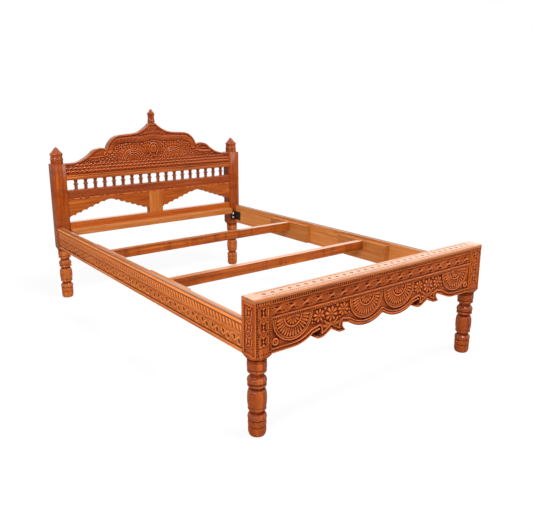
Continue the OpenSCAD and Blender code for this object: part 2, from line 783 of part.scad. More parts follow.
// Notched block on the inner face of a side rail that carries one end of a bearer
module hanger_block(side, end) {
    color(teak_pale) right_or_left(side) head_or_foot(end) difference() {
        translate([rail_in - block_t, bearer_y - block_l / 2, block_z]) cube([block_t, block_l, block_h]);
        translate([rail_in - block_t - 1, bearer_y - bearer_w / 2 - notch_gap, notch_z])
            cube([block_t + 2, bearer_w + 2 * notch_gap, bearer_h + 1]);
        block_screw_axes() screw_hole(block_t);
    }
}

module bearer(end) {
    l = 2 * (rail_in - end_gap);
    color(teak_pale) head_or_foot(end) translate([-l / 2, bearer_y - bearer_w / 2, notch_z])
        cube([l, bearer_w, bearer_h]);
}

// Ledger along the lower rail of the headboard or the inside of the footboard
module ledger_section() {
    translate([0, seat_z - ledger_h]) polygon(concat(
        [[0, 0], [ledger_d, 0]],
        arc([ledger_d - ledger_round, ledger_h - ledger_round], ledger_round, 0, 90),
        [[0, ledger_h]]
    ));
}

function ledger_back(end) = end > 0 ? head_face : -foot_back;

module ledger(end) {
    color(teak_pale) difference() {
        head_or_foot(end) translate([inner_x - 1, ledger_back(end), 0]) rotate([90, 0, -90])
            linear_extrude(2 * inner_x - 2) ledger_section();
        ledger_screw_axes(end) screw_hole(ledger_d);
    }
}

// Steel angle between a post and a side rail, drawn at the right-hand head corner
module bracket(side, end) {
    color(steel) right_or_left(side) head_or_foot(end) difference() {
        translate([0, 0, bracket_z - bracket_h / 2]) linear_extrude(bracket_h) polygon([
            [rail_in, inner_y], [rail_in, inner_y - bracket_rail_leg],
            [rail_in - bracket_t, inner_y - bracket_rail_leg], [rail_in - bracket_t, inner_y - bracket_t],
            [rail_in - bracket_post_leg, inner_y - bracket_t], [rail_in - bracket_post_leg, inner_y]
        ]);
        bolt_axes() translate([0, -bracket_t - 1, 0]) rotate([-90, 0, 0])
            cylinder(r = bolt_r + joint_gap, h = bracket_t + 2);
        rail_screw_axes() screw_hole(bracket_t);
    }
}

// Round-headed coach bolts through the brackets into the posts
module bracket_bolts() {
    color(bright_steel) for (side = [-1, 1], end = [-1, 1]) right_or_left(side) head_or_foot(end)
        bolt_axes() translate([0, -bracket_t, 0]) rotate([-90, 0, 0]) {
            translate([0, 0, -1]) cylinder(r = bolt_r, h = 1 + bracket_t + bolt_l);
            rotate_extrude($fn = 32) polygon(concat(
                [[0, 0], [bolt_head_r, 0]],
                [for (a = [0:15:90]) [bolt_head_r * cos(a), -1 - (bolt_head_h - 1) * sin(a)]]
            ));
        }
}

// Wood screw: the underside of the head lies at the origin and the shank runs along +Y
module screw(grip) {
    rotate([-90, 0, 0]) {
        translate([0, 0, -1]) cylinder(r = screw_r, h = 1 + grip + screw_bite);
        translate([0, 0, -screw_head_h]) cylinder(r = screw_head_r, h = screw_head_h);
    }
}

module screw_hole(grip) {
    translate([0, -1, 0]) rotate([-90, 0, 0])
        cylinder(r = screw_r + joint_gap, h = 1 + grip + screw_bite + joint_gap, $fn = 24);
}

// Axes of the screws from a bracket into the right-hand side rail
module rail_screw_axes() {
    for (dz = [-1, 1]) translate([
        rail_in - bracket_t, inner_y - bracket_rail_leg * 0.65, bracket_z + dz * bolt_pitch / 2
    ]) rotate([0, 0, -90]) children();
}

// Axes of the screws from a hanger block into the right-hand side rail
module block_screw_axes() {
    for (dy = [-1, 1])
        translate([rail_in - block_t, bearer_y + dy * block_l * 0.36, block_z + block_h / 2])
            rotate([0, 0, -90]) children();
}

// Axes of the screws from a ledger into the board behind it
ledger_screw_count = 5;

module ledger_screw_axes(end) {
    step = 2 * inner_x / ledger_screw_count;
    for (i = [0:ledger_screw_count - 1]) head_or_foot(end)
        translate([-inner_x + step * (i + 0.5), ledger_back(end) - ledger_d, seat_z - ledger_h / 2])
            children();
}

module bracket_screws() {
    color(bright_steel) for (side = [-1, 1], end = [-1, 1])
        right_or_left(side) head_or_foot(end) rail_screw_axes() screw(bracket_t);
}

module block_screws() {
    color(bright_steel) for (side = [-1, 1], end = [-1, 1])
        right_or_left(side) head_or_foot(end) block_screw_axes() screw(block_t);
}

module ledger_screws() {
    color(bright_steel) for (end = [-1, 1]) ledger_screw_axes(end) screw(ledger_d);
}

// Pegs driven from the mattress side of the posts through the tenons under them
function peg_z(end) = end > 0 ? head_rail_top - 2 * tenon_shoulder : foot_rail_z - 3 * tenon_shoulder;
function peg_l(end) = (end > 0 ? head_mid : -foot_mid) + tenon_t / 2 + 2 * peg_r - inner_y;

module peg(end, gap) {
    head_or_foot(end) translate([inner_x + tenon_l / 2, inner_y, peg_z(end)])
        rotate([-90, 0, 0]) translate([0, 0, -gap]) cylinder(r = peg_r + gap, h = peg_l(end) + 2 * gap);
}

module peg_hole(end) {
    peg(end, joint_gap);
}

module tenon_pegs() {
    color(teak_dark) for (side = [-1, 1], end = [-1, 1]) right_or_left(side) peg(end, 0);
}

// What is drawn
head_post(-1);  // head_post_left
head_post(1);  // head_post_right
foot_post(-1);  // foot_post_left
foot_post(1);  // foot_post_right
head_finial(-1);  // head_finial_left
head_finial(1);  // head_finial_right
crest_finial();
crest_board();
gallery_top_rail();
gallery_bottom_rail();
spindle(0);  // spindle_01
spindle(1);  // spindle_02
spindle(2);  // spindle_03
spindle(3);  // spindle_04
spindle(4);  // spindle_05
spindle(5);  // spindle_06
spindle(6);  // spindle_07
spindle(7);  // spindle_08
spindle(8);  // spindle_09
spindle(9);  // spindle_10
spindle(10);  // spindle_11
spindle(11);  // spindle_12
spindle(12);  // spindle_13
spindle(13);  // spindle_14
spindle(14);  // spindle_15
spindle(15);  // spindle_16
spindle(16);  // spindle_17
spindle(17);  // spindle_18
head_apron(-1);  // head_apron_left
head_apron(1);  // head_apron_right
head_muntin();
head_lower_rail();
foot_cap();
foot_rail();
foot_apron();
side_rail(-1);  // side_rail_left
side_rail(1);  // side_rail_right
bearer(-1);  // bearer_front
bearer(1);  // bearer_rear
hanger_block(-1, -1);  // hanger_block_front_left
hanger_block(1, -1);  // hanger_block_front_right
hanger_block(-1, 1);  // hanger_block_rear_left
hanger_block(1, 1);  // hanger_block_rear_right
ledger(1);  // head_ledger
ledger(-1);  // foot_ledger
bracket(-1, 1);  // head_bracket_left
bracket(1, 1);  // head_bracket_right
bracket(-1, -1);  // foot_bracket_left
bracket(1, -1);  // foot_bracket_right
bracket_bolts();
bracket_screws();
block_screws();
ledger_screws();
tenon_pegs();
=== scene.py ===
import math

import bmesh
import bpy
import numpy as np
from mathutils import Matrix, Vector


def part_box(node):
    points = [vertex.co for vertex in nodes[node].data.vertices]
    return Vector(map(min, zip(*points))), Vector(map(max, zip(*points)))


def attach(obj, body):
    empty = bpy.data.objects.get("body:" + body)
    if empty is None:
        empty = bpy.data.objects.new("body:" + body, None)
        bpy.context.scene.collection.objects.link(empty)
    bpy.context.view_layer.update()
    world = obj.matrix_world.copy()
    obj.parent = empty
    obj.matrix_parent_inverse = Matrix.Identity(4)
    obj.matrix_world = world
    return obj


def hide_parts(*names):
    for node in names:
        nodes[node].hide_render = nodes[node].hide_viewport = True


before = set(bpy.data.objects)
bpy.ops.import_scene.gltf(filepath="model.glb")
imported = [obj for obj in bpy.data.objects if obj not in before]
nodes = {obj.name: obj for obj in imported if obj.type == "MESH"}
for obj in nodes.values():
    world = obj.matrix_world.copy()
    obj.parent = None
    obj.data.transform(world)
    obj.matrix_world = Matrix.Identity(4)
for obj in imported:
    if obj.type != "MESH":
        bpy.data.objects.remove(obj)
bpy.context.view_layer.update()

# Camera
# A photographer's view from the foot-left corner, a little over the height of the bedhead.
# The lens is the one that gives the square posts and the long side rail their true angles.
photo_width, photo_height, sensor_width = 533, 532, 36
lens_px, centre_px_x, centre_px_y = 607.5452, 259.83, 247.32
pitch, yaw, roll = 0.2477, 0.641, -0.0035
camera_place = -1.7711, -2.5502, 1.1926


def new_object(name, data):
    """An object in the scene that holds a mesh, lamp or camera."""
    obj = bpy.data.objects.new(name, data)
    bpy.context.scene.collection.objects.link(obj)
    return obj


camera_data = bpy.data.cameras.new("camera")
camera_data.sensor_width = sensor_width
camera_data.lens = lens_px / photo_width * sensor_width
camera_data.shift_x = (photo_width / 2 - centre_px_x) / photo_width
camera_data.shift_y = (centre_px_y - photo_height / 2) / photo_width
camera_data.clip_start, camera_data.clip_end = 0.05, 60
camera = new_object("camera", camera_data)
ahead = Vector((math.sin(yaw) * math.cos(pitch), math.cos(yaw) * math.cos(pitch), -math.sin(pitch)))
aim = ahead.to_track_quat("-Z", "Y").to_matrix().to_4x4()
camera.matrix_world = Matrix.Translation(camera_place) @ aim @ Matrix.Rotation(roll, 4, "Z")
bpy.context.scene.camera = camera

# Floor and light
# A wide matt white floor that runs out into a white room, with four soft lamps. Polished wood
# mirrors the floor dim and the walls brighter towards the top, as in a real studio.
floor_half = 14


class Shading:
    """Short calls that add nodes to a material or a world.

    An input is named or numbered, and takes a value or another node's output.
    """

    def __init__(self, owner):
        owner.use_nodes = True
        self.nodes, self.links = owner.node_tree.nodes, owner.node_tree.links

    def feed(self, node, inputs):
        """Sets a node's inputs, or links them."""
        for key, value in inputs.items():
            socket = node.inputs[key]
            if isinstance(value, bpy.types.NodeSocket):
                self.links.new(value, socket)
            else:
                socket.default_value = (*value, 1) if socket.type == "RGBA" else value

    def add(self, kind, inputs, **settings):
        """Adds a node and gives its outputs."""
        node = self.nodes.new("ShaderNode" + kind)
        for key, value in settings.items():
            setattr(node, key, value)
        self.feed(node, inputs)
        return node.outputs

    def span(self, value, low, high, to_low, to_high, **settings):
        """One range of a value turned into another, and held at its ends."""
        inputs = {"Value": value, "From Min": low, "From Max": high, "To Min": to_low, "To Max": to_high}
        return self.add("MapRange", inputs, **settings)["Result"]

    def mix(self, factor, a, b, kind="MIX"):
        """Two colours mixed by a factor."""
        return self.add("Mix", {0: factor, 6: a, 7: b}, data_type="RGBA", blend_type=kind)[2]

    def plus(self, a, b):
        """Two values added, up to 1."""
        return self.add("Math", {0: a, 1: b}, operation="ADD", use_clamp=True)[0]

    def noise(self, vector, scale, detail, rough=0.55, distortion=0.0):
        """Cloudy noise from 0 to 1."""
        inputs = {"Scale": scale, "Detail": detail, "Roughness": rough, "Distortion": distortion}
        return self.add("TexNoise", {"Vector": vector, **inputs})["Fac"]

    def ramp(self, factor, *stops):
        """Colours that change along a value."""
        node = self.nodes.new("ShaderNodeValToRGB")
        elements = node.color_ramp.elements
        while len(elements) < len(stops):
            elements.new(0.5)
        for element, (position, colour) in zip(elements, stops):
            element.position, element.color = position, (*colour, 1)
        self.feed(node, {"Fac": factor})
        return node.outputs["Color"]


def new_mesh(name, work):
    """A mesh made of a bmesh, which ends there."""
    mesh = bpy.data.meshes.new(name)
    work.to_mesh(mesh)
    work.free()
    return mesh


floor_work = bmesh.new()
bmesh.ops.create_grid(floor_work, x_segments=1, y_segments=1, size=floor_half)
floor = new_object("floor", new_mesh("floor", floor_work))
floor_paint = bpy.data.materials.new("white_floor")
paint = Shading(floor_paint)
floor_shader = paint.nodes["Principled BSDF"]
rays = paint.add("LightPath", {})
paint.feed(floor_shader, {
    "Roughness": 0.9,
    "Base Color": paint.mix(rays["Is Glossy Ray"], (0.93, 0.93, 0.93), (0.25, 0.23, 0.21)),
})
from_middle = paint.add("VectorMath", {0: paint.add("TexCoord", {})["Object"]}, operation="LENGTH")["Value"]
whitened = paint.span(from_middle, 1.1, 3.2, 0.90, 1.0, interpolation_type="SMOOTHSTEP")
share = paint.add("Math", {0: rays["Is Camera Ray"], 1: whitened}, operation="MULTIPLY")[0]
glow = paint.add("Emission", {})[0]
surface = paint.add("MixShader", {0: share, 1: floor_shader.outputs["BSDF"], 2: glow})[0]
paint.feed(paint.nodes["Material Output"], {"Surface": surface})
floor.data.materials.append(floor_paint)

world = bpy.data.worlds.new("white_room")
bpy.context.scene.world = world
room = Shading(world)
rays = room.add("LightPath", {})
seen = room.add("Math", {0: rays["Is Camera Ray"], 1: rays["Is Transmission Ray"]}, operation="MAXIMUM")[0]
height = room.add("SeparateXYZ", {0: room.add("TexCoord", {})["Generated"]})["Z"]
walls = room.span(height, 0.10, 0.24, 0.38, 1.6, interpolation_type="SMOOTHSTEP")
strength = room.add("Mix", {0: rays["Is Glossy Ray"], 2: room.span(seen, 0, 1, 0.22, 1.0), 3: walls})[0]
room.feed(room.nodes["Background"], {"Color": (1, 1, 1), "Strength": strength})


def lamp(name, place, target, size, watts, mirrored_in_polish=True):
    """A large soft square lamp that looks at a point."""
    data = bpy.data.lights.new(name, "AREA")
    data.shape, data.size, data.energy = "SQUARE", size, watts
    obj = new_object(name, data)
    obj.location = place
    obj.visible_glossy = mirrored_in_polish
    obj.rotation_euler = (Vector(target) - Vector(place)).to_track_quat("-Z", "Y").to_euler()


lamp("lamp_left", (-5.0, -2.6, 3.2), (0, -0.4, 0.4), 3.0, 290)
lamp("lamp_front", (3.4, -4.2, 2.6), (0.3, -0.3, 0.4), 2.2, 75)
lamp("lamp_over", (0.4, -1.6, 4.6), (0.2, -0.5, 0.3), 1.6, 230)
lamp("lamp_back", (2.0, 4.6, 3.0), (0, 0, 0.4), 3.2, 70, mirrored_in_polish=False)
bpy.context.scene.view_settings.view_transform = "Standard"

# Plain boards of the headboard
# The lower rail, the two scalloped aprons and the upright between them are sawn and planed
# teak under a red-brown polish. They are tenoned into the posts and have no carving.


def teak(name, tones, grain, coat=0.35, highlight_strength=0.8, gloss=0.07, curl=0.0, top_sheen=0.32, coat_ior=1.3):
    """Polished teak in a pale, a middle and a dark tone, with its grain along an axis.

    Growth lines, pores and patches lie under painted shade that darkens the hollows, a painted highlight on
    the ridges and a painted sheen that makes the tops paler. Curl adds dark stripes across the grain.
    """
    pale, middle, dark = tones
    material = bpy.data.materials.new(name)
    wood = Shading(material)
    coordinates = wood.add("TexCoord", {})
    place = coordinates["Object"]
    upward = wood.add("SeparateXYZ", {0: coordinates["Normal"]})["Z"]

    def stretched(along, across):
        scale = [along if axis == grain else across for axis in "XYZ"]
        return wood.add("Mapping", {"Vector": place, "Scale": scale})["Vector"]

    fibre = stretched(1.0, 16.0)
    wave = {"Scale": 0.9, "Distortion": 9.0, "Detail": 3.0, "Detail Scale": 0.5, "Detail Roughness": 0.6}
    bands = "X" if grain == "Z" else "Z"
    lines = wood.add("TexWave", {"Vector": fibre, **wave}, bands_direction=bands)["Fac"]
    figure = wood.ramp(wood.noise(fibre, 2.6, 6, 0.62, 0.35),
                       (0.33, dark), (0.45, middle), (0.55, middle), (0.68, pale))
    ringed = wood.mix(wood.span(lines, 0.0, 0.35, 0.34, 0.0), figure, dark)
    pores = wood.noise(fibre, 34, 3, 0.7)
    pored = wood.mix(wood.span(pores, 0.30, 0.42, 0.45, 0.0), ringed, tuple(0.45 * c for c in dark))
    tinted = wood.mix(1.0, pored, (0.86, 0.72, 0.62), "MULTIPLY")
    colour = wood.mix(wood.span(wood.noise(place, 3.1, 3), 0.35, 0.65, 0.0, 0.42), pored, tinted)
    if curl:
        stripes = wood.span(wood.noise(stretched(5.0, 0.8), 3.4, 5, 0.7, 0.6), 0.50, 0.66, 0.0, curl)
        colour = wood.mix(stripes, colour, wood.mix(1.0, colour, (0.50, 0.38, 0.28), "MULTIPLY"))
    hollow = wood.add("Attribute", {}, attribute_name="hollow")["Fac"]
    ridge_highlight = wood.add("Attribute", {}, attribute_name="ridge_highlight")["Fac"]
    # Painted shade: the colour darkens with the hollow attribute, deepest in hollows and grooves.
    stain_and_shade = wood.ramp(hollow, (0.0, (1, 1, 1)), (0.28, (0.74, 0.60, 0.52)),
                      (0.62, (0.32, 0.18, 0.13)), (1.0, (0.09, 0.04, 0.025)))
    shaded = wood.mix(1.0, colour, stain_and_shade, "MULTIPLY")
    # Painted highlight: ridges get a paler colour by the ridge_highlight attribute.
    highlight_colour = tuple(min(1.0, 1.45 * c + 0.012) for c in pale)
    wear_and_highlight = wood.mix(wood.span(ridge_highlight, 0.08, 0.6, 0.0, highlight_strength), shaded, highlight_colour)
    polish = wood.plus(wood.span(hollow, 0.0, 0.4, coat, 0.0), wood.span(ridge_highlight, 0.1, 0.8, 0.0, 0.4))
    pitted = wood.add("Bump", {"Strength": 0.10, "Distance": 0.001, "Height": pores})["Normal"]
    planed = {"Strength": 0.25, "Distance": 0.0012, "Height": wood.noise(place, 28, 2), "Normal": pitted}
    wood.feed(wood.nodes["Principled BSDF"], {
        # Painted sheen: faces that look up are mixed towards a pale tan.
        "Base Color": wood.mix(wood.span(upward, 0.92, 0.99, 0.0, top_sheen), wear_and_highlight, (0.70, 0.33, 0.12)),
        "Roughness": wood.span(wood.noise(place, 46, 4), 0.3, 0.7, 0.24, 0.44),
        "Specular IOR Level": gloss,
        "Coat Weight": wood.plus(polish, wood.span(upward, 0.92, 0.99, 0.0, 1.0)),
        "Coat IOR": coat_ior,
        "Coat Roughness": 0.13,
        "Normal": wood.add("Bump", planed)["Normal"],
    })
    return material


def finish_nodes(material, *names):
    """Gives CAD nodes whose shape is right their finish."""
    for node_name in names:
        node_mesh = nodes[node_name].data
        node_mesh.materials.clear()
        node_mesh.materials.append(material)


warm_tones = (0.50, 0.135, 0.018), (0.375, 0.082, 0.009), (0.20, 0.034, 0.004)
board_tones = (0.45, 0.118, 0.017), (0.30, 0.065, 0.008), (0.14, 0.023, 0.003)
upright_tones = (0.50, 0.165, 0.038), (0.38, 0.112, 0.022), (0.25, 0.058, 0.010)
warm_across = teak("warm_teak_across", warm_tones, "X")
board_across = teak("board_teak_across", board_tones, "X")
upright_teak = teak("upright_teak", upright_tones, "Z")
finish_nodes(warm_across, "head_lower_rail")
finish_nodes(board_across, "head_apron_left", "head_apron_right")
finish_nodes(upright_teak, "head_muntin")

# Posts
# Each of the four posts is one length of teak: a turned leg of rings, coves and a barrel, and a
# square length over it. The foot posts are short and carved on their two outer faces with a
# bead along each edge and three crossed flowers. The head posts are plain, over paler legs.
post_x, post_y, post_half = 605, 967.5, 37.5
leg_top, pale_top, foot_post_top, head_post_top = 313, 300, 511, 804
foot_front, foot_flank, foot_skin = -1001, 638.5, 4.0
clear_half = post_x - post_half
bed_sides = ((-1, "left", "-X"), (1, "right", "+X"))


def swell(distance, half, height):
    """Half-round rise of a given half width and height across a distance."""
    return height * np.sqrt(np.clip(1 - (distance / half) ** 2, 0, 1))


def rounded(distance, radius):
    """How far a rounded edge falls away, by the distance from it."""
    return radius - np.sqrt(np.clip(radius ** 2 - np.clip(radius - distance, 0, radius) ** 2, 0, None))


def fold(u, pitch, start=0.0):
    """Distance to the middle of the repeat that u lies in, and the number of that repeat."""
    return (u - start) % pitch - pitch / 2, np.floor((u - start) / pitch)


def turned(u, v, mid, degrees):
    """Coordinates from a point, turned so that the first one runs along an angle."""
    c, s = math.cos(math.radians(degrees)), math.sin(math.radians(degrees))
    du, dv = u - mid[0], v - mid[1]
    return du * c + dv * s, dv * c - du * s


def leaf(along, across, length, half, height, vein=0.0):
    """Pointed leaf from 0 to its length, with a groove down its middle and hatched veins."""
    t = np.clip(along / length, 0, 1)
    shape = swell(across, half * np.sin(np.pi * t ** 0.85) ** 0.75 + 1e-3, height)
    shape = shape - 0.30 * height * np.exp(-(across / 0.9) ** 2) * (shape > 0)
    if vein:
        slant = along - 1.2 * np.abs(across)
        shape = shape - 0.16 * height * (0.5 + 0.5 * np.cos(2 * np.pi * slant / vein)) * (shape > 0)
    return np.where((along > 0) & (along < length), np.maximum(shape, 0), 0)


def petals(u, v, mid, inner, outer, count, height, start=0.0, sweep=360.0, gap=0.1, full=1.0):
    """Ring of petals round a point, round at both ends and parted by grooves."""
    r, angle = np.hypot(u - mid[0], v - mid[1]), np.degrees(np.arctan2(v - mid[1], u - mid[0]))
    t = 2 * (((angle - start) * count / sweep) % 1) - 1
    s = (r - inner) / (outer - inner)
    tip, root = swell(np.maximum(s - 0.55, 0), 0.45, 1), swell(np.maximum(0.25 - s, 0), 0.25, 1)
    shape = swell(t, np.maximum((1 - gap) * tip * root, 1e-3), height) * (0.55 + 0.45 * tip * root)
    return np.where((s > 0) & (s < 1), np.minimum(shape * full, height), 0)


class Carving:
    """A carved face as heights in millimetres over its ground: u runs along it and v up it."""

    def __init__(self, u0, u1, v0, v1, cell=1.0):
        self.size, self.cell = (u0, u1, v0, v1), cell
        self.u, self.v = np.meshgrid(np.arange(u0, u1 + cell, cell), np.arange(v0, v1 + cell, cell))
        self.h = np.zeros(self.u.shape)
        self.ease = np.zeros(self.u.shape)

    def add(self, shape, where=True):
        """Lays a motif on its flat ground on the face or a part; where two cross, the higher shows."""
        self.h = np.where(where, np.maximum(self.h, shape), self.h)

    def put(self, shape, where):
        """Gives a part of the face new heights, whatever was there."""
        self.h = np.where(where, shape, self.h)

    def soft(self, reach, lowest=-9.0):
        """The heights, none under a lowest one, with all that is smaller than a reach smoothed away."""
        n, out = max(1, round(reach / self.cell)), np.maximum(self.h, lowest)
        count = 2 * n + 1
        for axis in (0, 1, 0, 1):
            edge = [(n + 1, n) if a == axis else (0, 0) for a in (0, 1)]
            total = np.cumsum(np.pad(out, edge, "edge"), axis)
            if axis == 0:
                out = (total[count:] - total[:-count]) / count
            else:
                out = (total[:, count:] - total[:, :-count]) / count
        return out

    def at(self, values, u, v):
        """Values of a map of this face at given places."""
        x = np.clip((u - self.size[0]) / self.cell, 0, self.h.shape[1] - 1.001)
        y = np.clip((v - self.size[2]) / self.cell, 0, self.h.shape[0] - 1.001)
        i, j = x.astype(int), y.astype(int)
        a, b = x - i, y - j
        return ((values[j, i] * (1 - a) + values[j, i + 1] * a) * (1 - b)
                + (values[j + 1, i] * (1 - a) + values[j + 1, i + 1] * a) * b)


def mirrored(c):
    """The same carving seen the other way round."""
    other = Carving(-c.size[1], -c.size[0], c.size[2], c.size[3], c.cell)
    other.h = c.at(c.h, -other.u, other.v)
    other.ease = c.at(c.ease, -other.u, other.v)
    return other


def new_work():
    """A bmesh whose points carry painted shade by how deep in hollows they lie, and a painted highlight by
    how proud they stand.
    """
    work = bmesh.new()
    work.verts.layers.float.new("hollow")
    work.verts.layers.float.new("ridge_highlight")
    return work


def points_of(geometry):
    """The points among what a bmesh operator made."""
    return [g for g in geometry if isinstance(g, bmesh.types.BMVert)]


def blank_board(size, step, back):
    """Plain board in millimetres with a fine grid over its front, which lies at 0."""
    u0, u1, v0, v1 = size
    work = new_work()
    middle, spread = ((u0 + u1) / 2, (v0 + v1) / 2, 0), (u1 - u0, v1 - v0, 1, 1)
    place = Matrix.Translation(middle) @ Matrix.Diagonal(spread)
    bmesh.ops.create_grid(work, x_segments=round((u1 - u0) / step), y_segments=round((v1 - v0) / step),
                          size=0.5, matrix=place)
    sides = bmesh.ops.extrude_edge_only(work, edges=[e for e in work.edges if e.is_boundary])["geom"]
    bmesh.ops.translate(work, vec=(0, 0, -back), verts=points_of(sides))
    bmesh.ops.holes_fill(work, edges=[e for e in work.edges if e.is_boundary], sides=0)
    bmesh.ops.recalc_face_normals(work, faces=work.faces)
    return new_mesh("carved", work)


def sawn(mesh, outline, back, spare=9):
    """The part of a plain board that lies inside an outline."""
    work = bmesh.new()
    face = work.faces.new([work.verts.new((*point, spare)) for point in outline])
    pushed = bmesh.ops.extrude_face_region(work, geom=[face])["geom"]
    bmesh.ops.translate(work, vec=(0, 0, -back - 2 * spare), verts=points_of(pushed))
    bmesh.ops.recalc_face_normals(work, faces=work.faces)
    blank, cutter = new_object("blank", mesh), new_object("cutter", new_mesh("cutter", work))
    cut = blank.modifiers.new("outline", "BOOLEAN")
    cut.operation, cut.solver, cut.object = "INTERSECT", "MANIFOLD", cutter
    mesh = bpy.data.meshes.new_from_object(blank.evaluated_get(bpy.context.evaluated_depsgraph_get()))
    bpy.data.objects.remove(blank)
    bpy.data.objects.remove(cutter)
    return mesh


def carved_mesh(carving, place, step, back, outline=None, depth=1.7, wall_shade=0.0, rim=1.5):
    """Board cut to a carving on a grid of a given step, with a flat back so far behind its face.

    Its sides are straight or follow an outline. Painted shade is full in hollows of the given depth, the
    ridges get a painted highlight, and the sawn sides and the edge of the back get a painted shade of their
    own.
    """
    mesh = blank_board(carving.size, step, back)
    if outline:
        mesh = sawn(mesh, outline, back)
    work = bmesh.new()
    work.from_mesh(mesh)
    flat_back = [f for f in work.faces if f.normal.z < -0.9]
    bmesh.ops.inset_region(work, faces=flat_back, thickness=rim, depth=0)
    inner = {p.index for p in work.verts
             if p.co.z < -back + 0.01 and all(f.normal.z < -0.9 for f in p.link_faces)}
    work.to_mesh(mesh)
    work.free()
    co = np.empty(len(mesh.vertices) * 3)
    mesh.vertices.foreach_get("co", co)
    co = co.reshape(-1, 3)
    front = co[:, 2] > -0.01
    u, v = co[front, 0], co[front, 1]
    near, far, fine, full_ridge = 5, 13, 1.6, 1.2
    below_near, below_far = carving.soft(near) - carving.h, carving.soft(far) - carving.h
    # Painted shade: points that sit below their smoothed surroundings, or in deep cuts, are darkened.
    shade = 0.95 * below_near / depth + 0.4 * below_far / (2.4 * depth)
    shade += 0.75 * np.clip((-1.0 - carving.h) / 1.8, 0, 1)
    # Painted highlight: points proud of their near surroundings are lightened.
    proud = carving.soft(fine, 1.0) - carving.soft(near, 1.0)
    # Painted shade on the sawn sides and the edge of the back, by wall_shade.
    hollow, ridge_highlight = np.full(len(co), wall_shade), np.zeros(len(co))
    hollow[list(inner)] = 0.0
    hollow[front] = np.clip(carving.at(shade, u, v), 0, 1)
    ridge_highlight[front] = np.clip(carving.at(proud / full_ridge, u, v), 0, 1)
    co[front, 2] = carving.at(carving.h - carving.ease, u, v)
    mesh.vertices.foreach_set("co", (co * 0.001).ravel())
    for key, values in (("hollow", hollow), ("ridge_highlight", ridge_highlight)):
        layer = mesh.attributes.get(key) or mesh.attributes.new(key, "FLOAT", "POINT")
        layer.data.foreach_set("value", values)
    mesh.transform(place)
    return mesh


def face_place(x, y, z, facing):
    """Where a carved face goes: its origin in millimetres, and the way that it looks."""
    out = Vector({"-Y": (0, -1, 0), "-X": (-1, 0, 0), "+X": (1, 0, 0), "+Z": (0, 0, 1)}[facing])
    up = Vector((0, 1, 0) if facing == "+Z" else (0, 0, 1))
    turn = Matrix((up.cross(out), up, out)).transposed().to_4x4()
    return Matrix.Translation((x / 1000, y / 1000, z / 1000)) @ turn


def add_piece(name, work, materials, stands_for, body="bed_frame", angle=55):
    """Makes a finished piece of a bmesh, in metres and in place, riding its body."""
    mesh = new_mesh(name, work)
    for material in materials:
        mesh.materials.append(material)
    mesh.shade_smooth()
    mesh.set_sharp_from_angle(angle=math.radians(angle))
    obj = new_object(name, mesh)
    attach(obj, body)
    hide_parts(*stands_for)


def add_board(name, mesh, material, stands_for):
    """Makes a carved mesh a piece of its own."""
    work = new_work()
    work.from_mesh(mesh)
    add_piece(name, work, [material], [stands_for])


def add_box(work, low, high, bevel):
    """Sawn block between two corners in millimetres, with its edges eased."""
    low, high = Vector(low) / 1000, Vector(high) / 1000
    place = Matrix.Translation((low + high) / 2) @ Matrix.Diagonal((*(high - low), 1))
    made = bmesh.ops.create_cube(work, size=1, matrix=place)["verts"]
    edges = {e for p in made for e in p.link_edges}
    bmesh.ops.bevel(work, geom=list(edges), offset=bevel / 1000, offset_type="OFFSET", affect="EDGES",
                    segments=2, profile=0.5, material=-1)


def add_turning(work, outline, centre, steps=64, square=None, groove_reach=7.0):
    """Turned piece: an outline of [radius, height] points in millimetres spun round its axis.

    A square cuts it flat on four sides, at that distance from the axis.
    """
    axis_reach, darkest = 4, 3.2
    layer, before = work.verts.layers.float["hollow"], set(work.verts)
    chain = [work.verts.new((r / 1000, 0, z / 1000)) for r, z in outline]
    edges = [work.edges.new(pair) for pair in zip(chain, chain[1:])]
    bmesh.ops.spin(work, geom=chain + edges, cent=(0, 0, 0), axis=(0, 0, 1), angle=2 * math.pi,
                   steps=steps, use_merge=True)
    mine = [p for p in work.verts if p not in before]
    bmesh.ops.remove_doubles(work, verts=mine, dist=1e-6)
    mine = [p for p in work.verts if p not in before]
    radii, heights = np.array(outline).T
    for p in mine:
        z, r = p.co.z * 1000, math.hypot(p.co.x, p.co.y) * 1000
        # Painted shade: points in grooves are darkened by how far they sink below the outline nearby.
        near = np.interp(np.linspace(z - groove_reach, z + groove_reach, 15), heights, radii).mean()
        p[layer] = min(1.0, max(0.0, (near - r) / darkest)) if r > axis_reach else 0.0
        if square:
            p.co.x, p.co.y = (max(-square, min(square, c * 1000)) / 1000 for c in (p.co.x, p.co.y))
    bmesh.ops.translate(work, vec=Vector(centre) / 1000, verts=mine)
    faces = list({f for p in mine for f in p.link_faces})
    bmesh.ops.recalc_face_normals(work, faces=faces)


def bead_points(z, height, r, bulge, n=10):
    """Swelling ring on a turned outline."""
    angles = [math.pi * i / n for i in range(n + 1)]
    return [(r + bulge * math.sin(a), z + height * (1 - math.cos(a)) / 2) for a in angles]


def cove_points(z, height, r, depth, n=10):
    """Hollow on a turned outline."""
    return [(r - depth * math.sin(math.pi * i / n), z + height * i / n) for i in range(n + 1)]


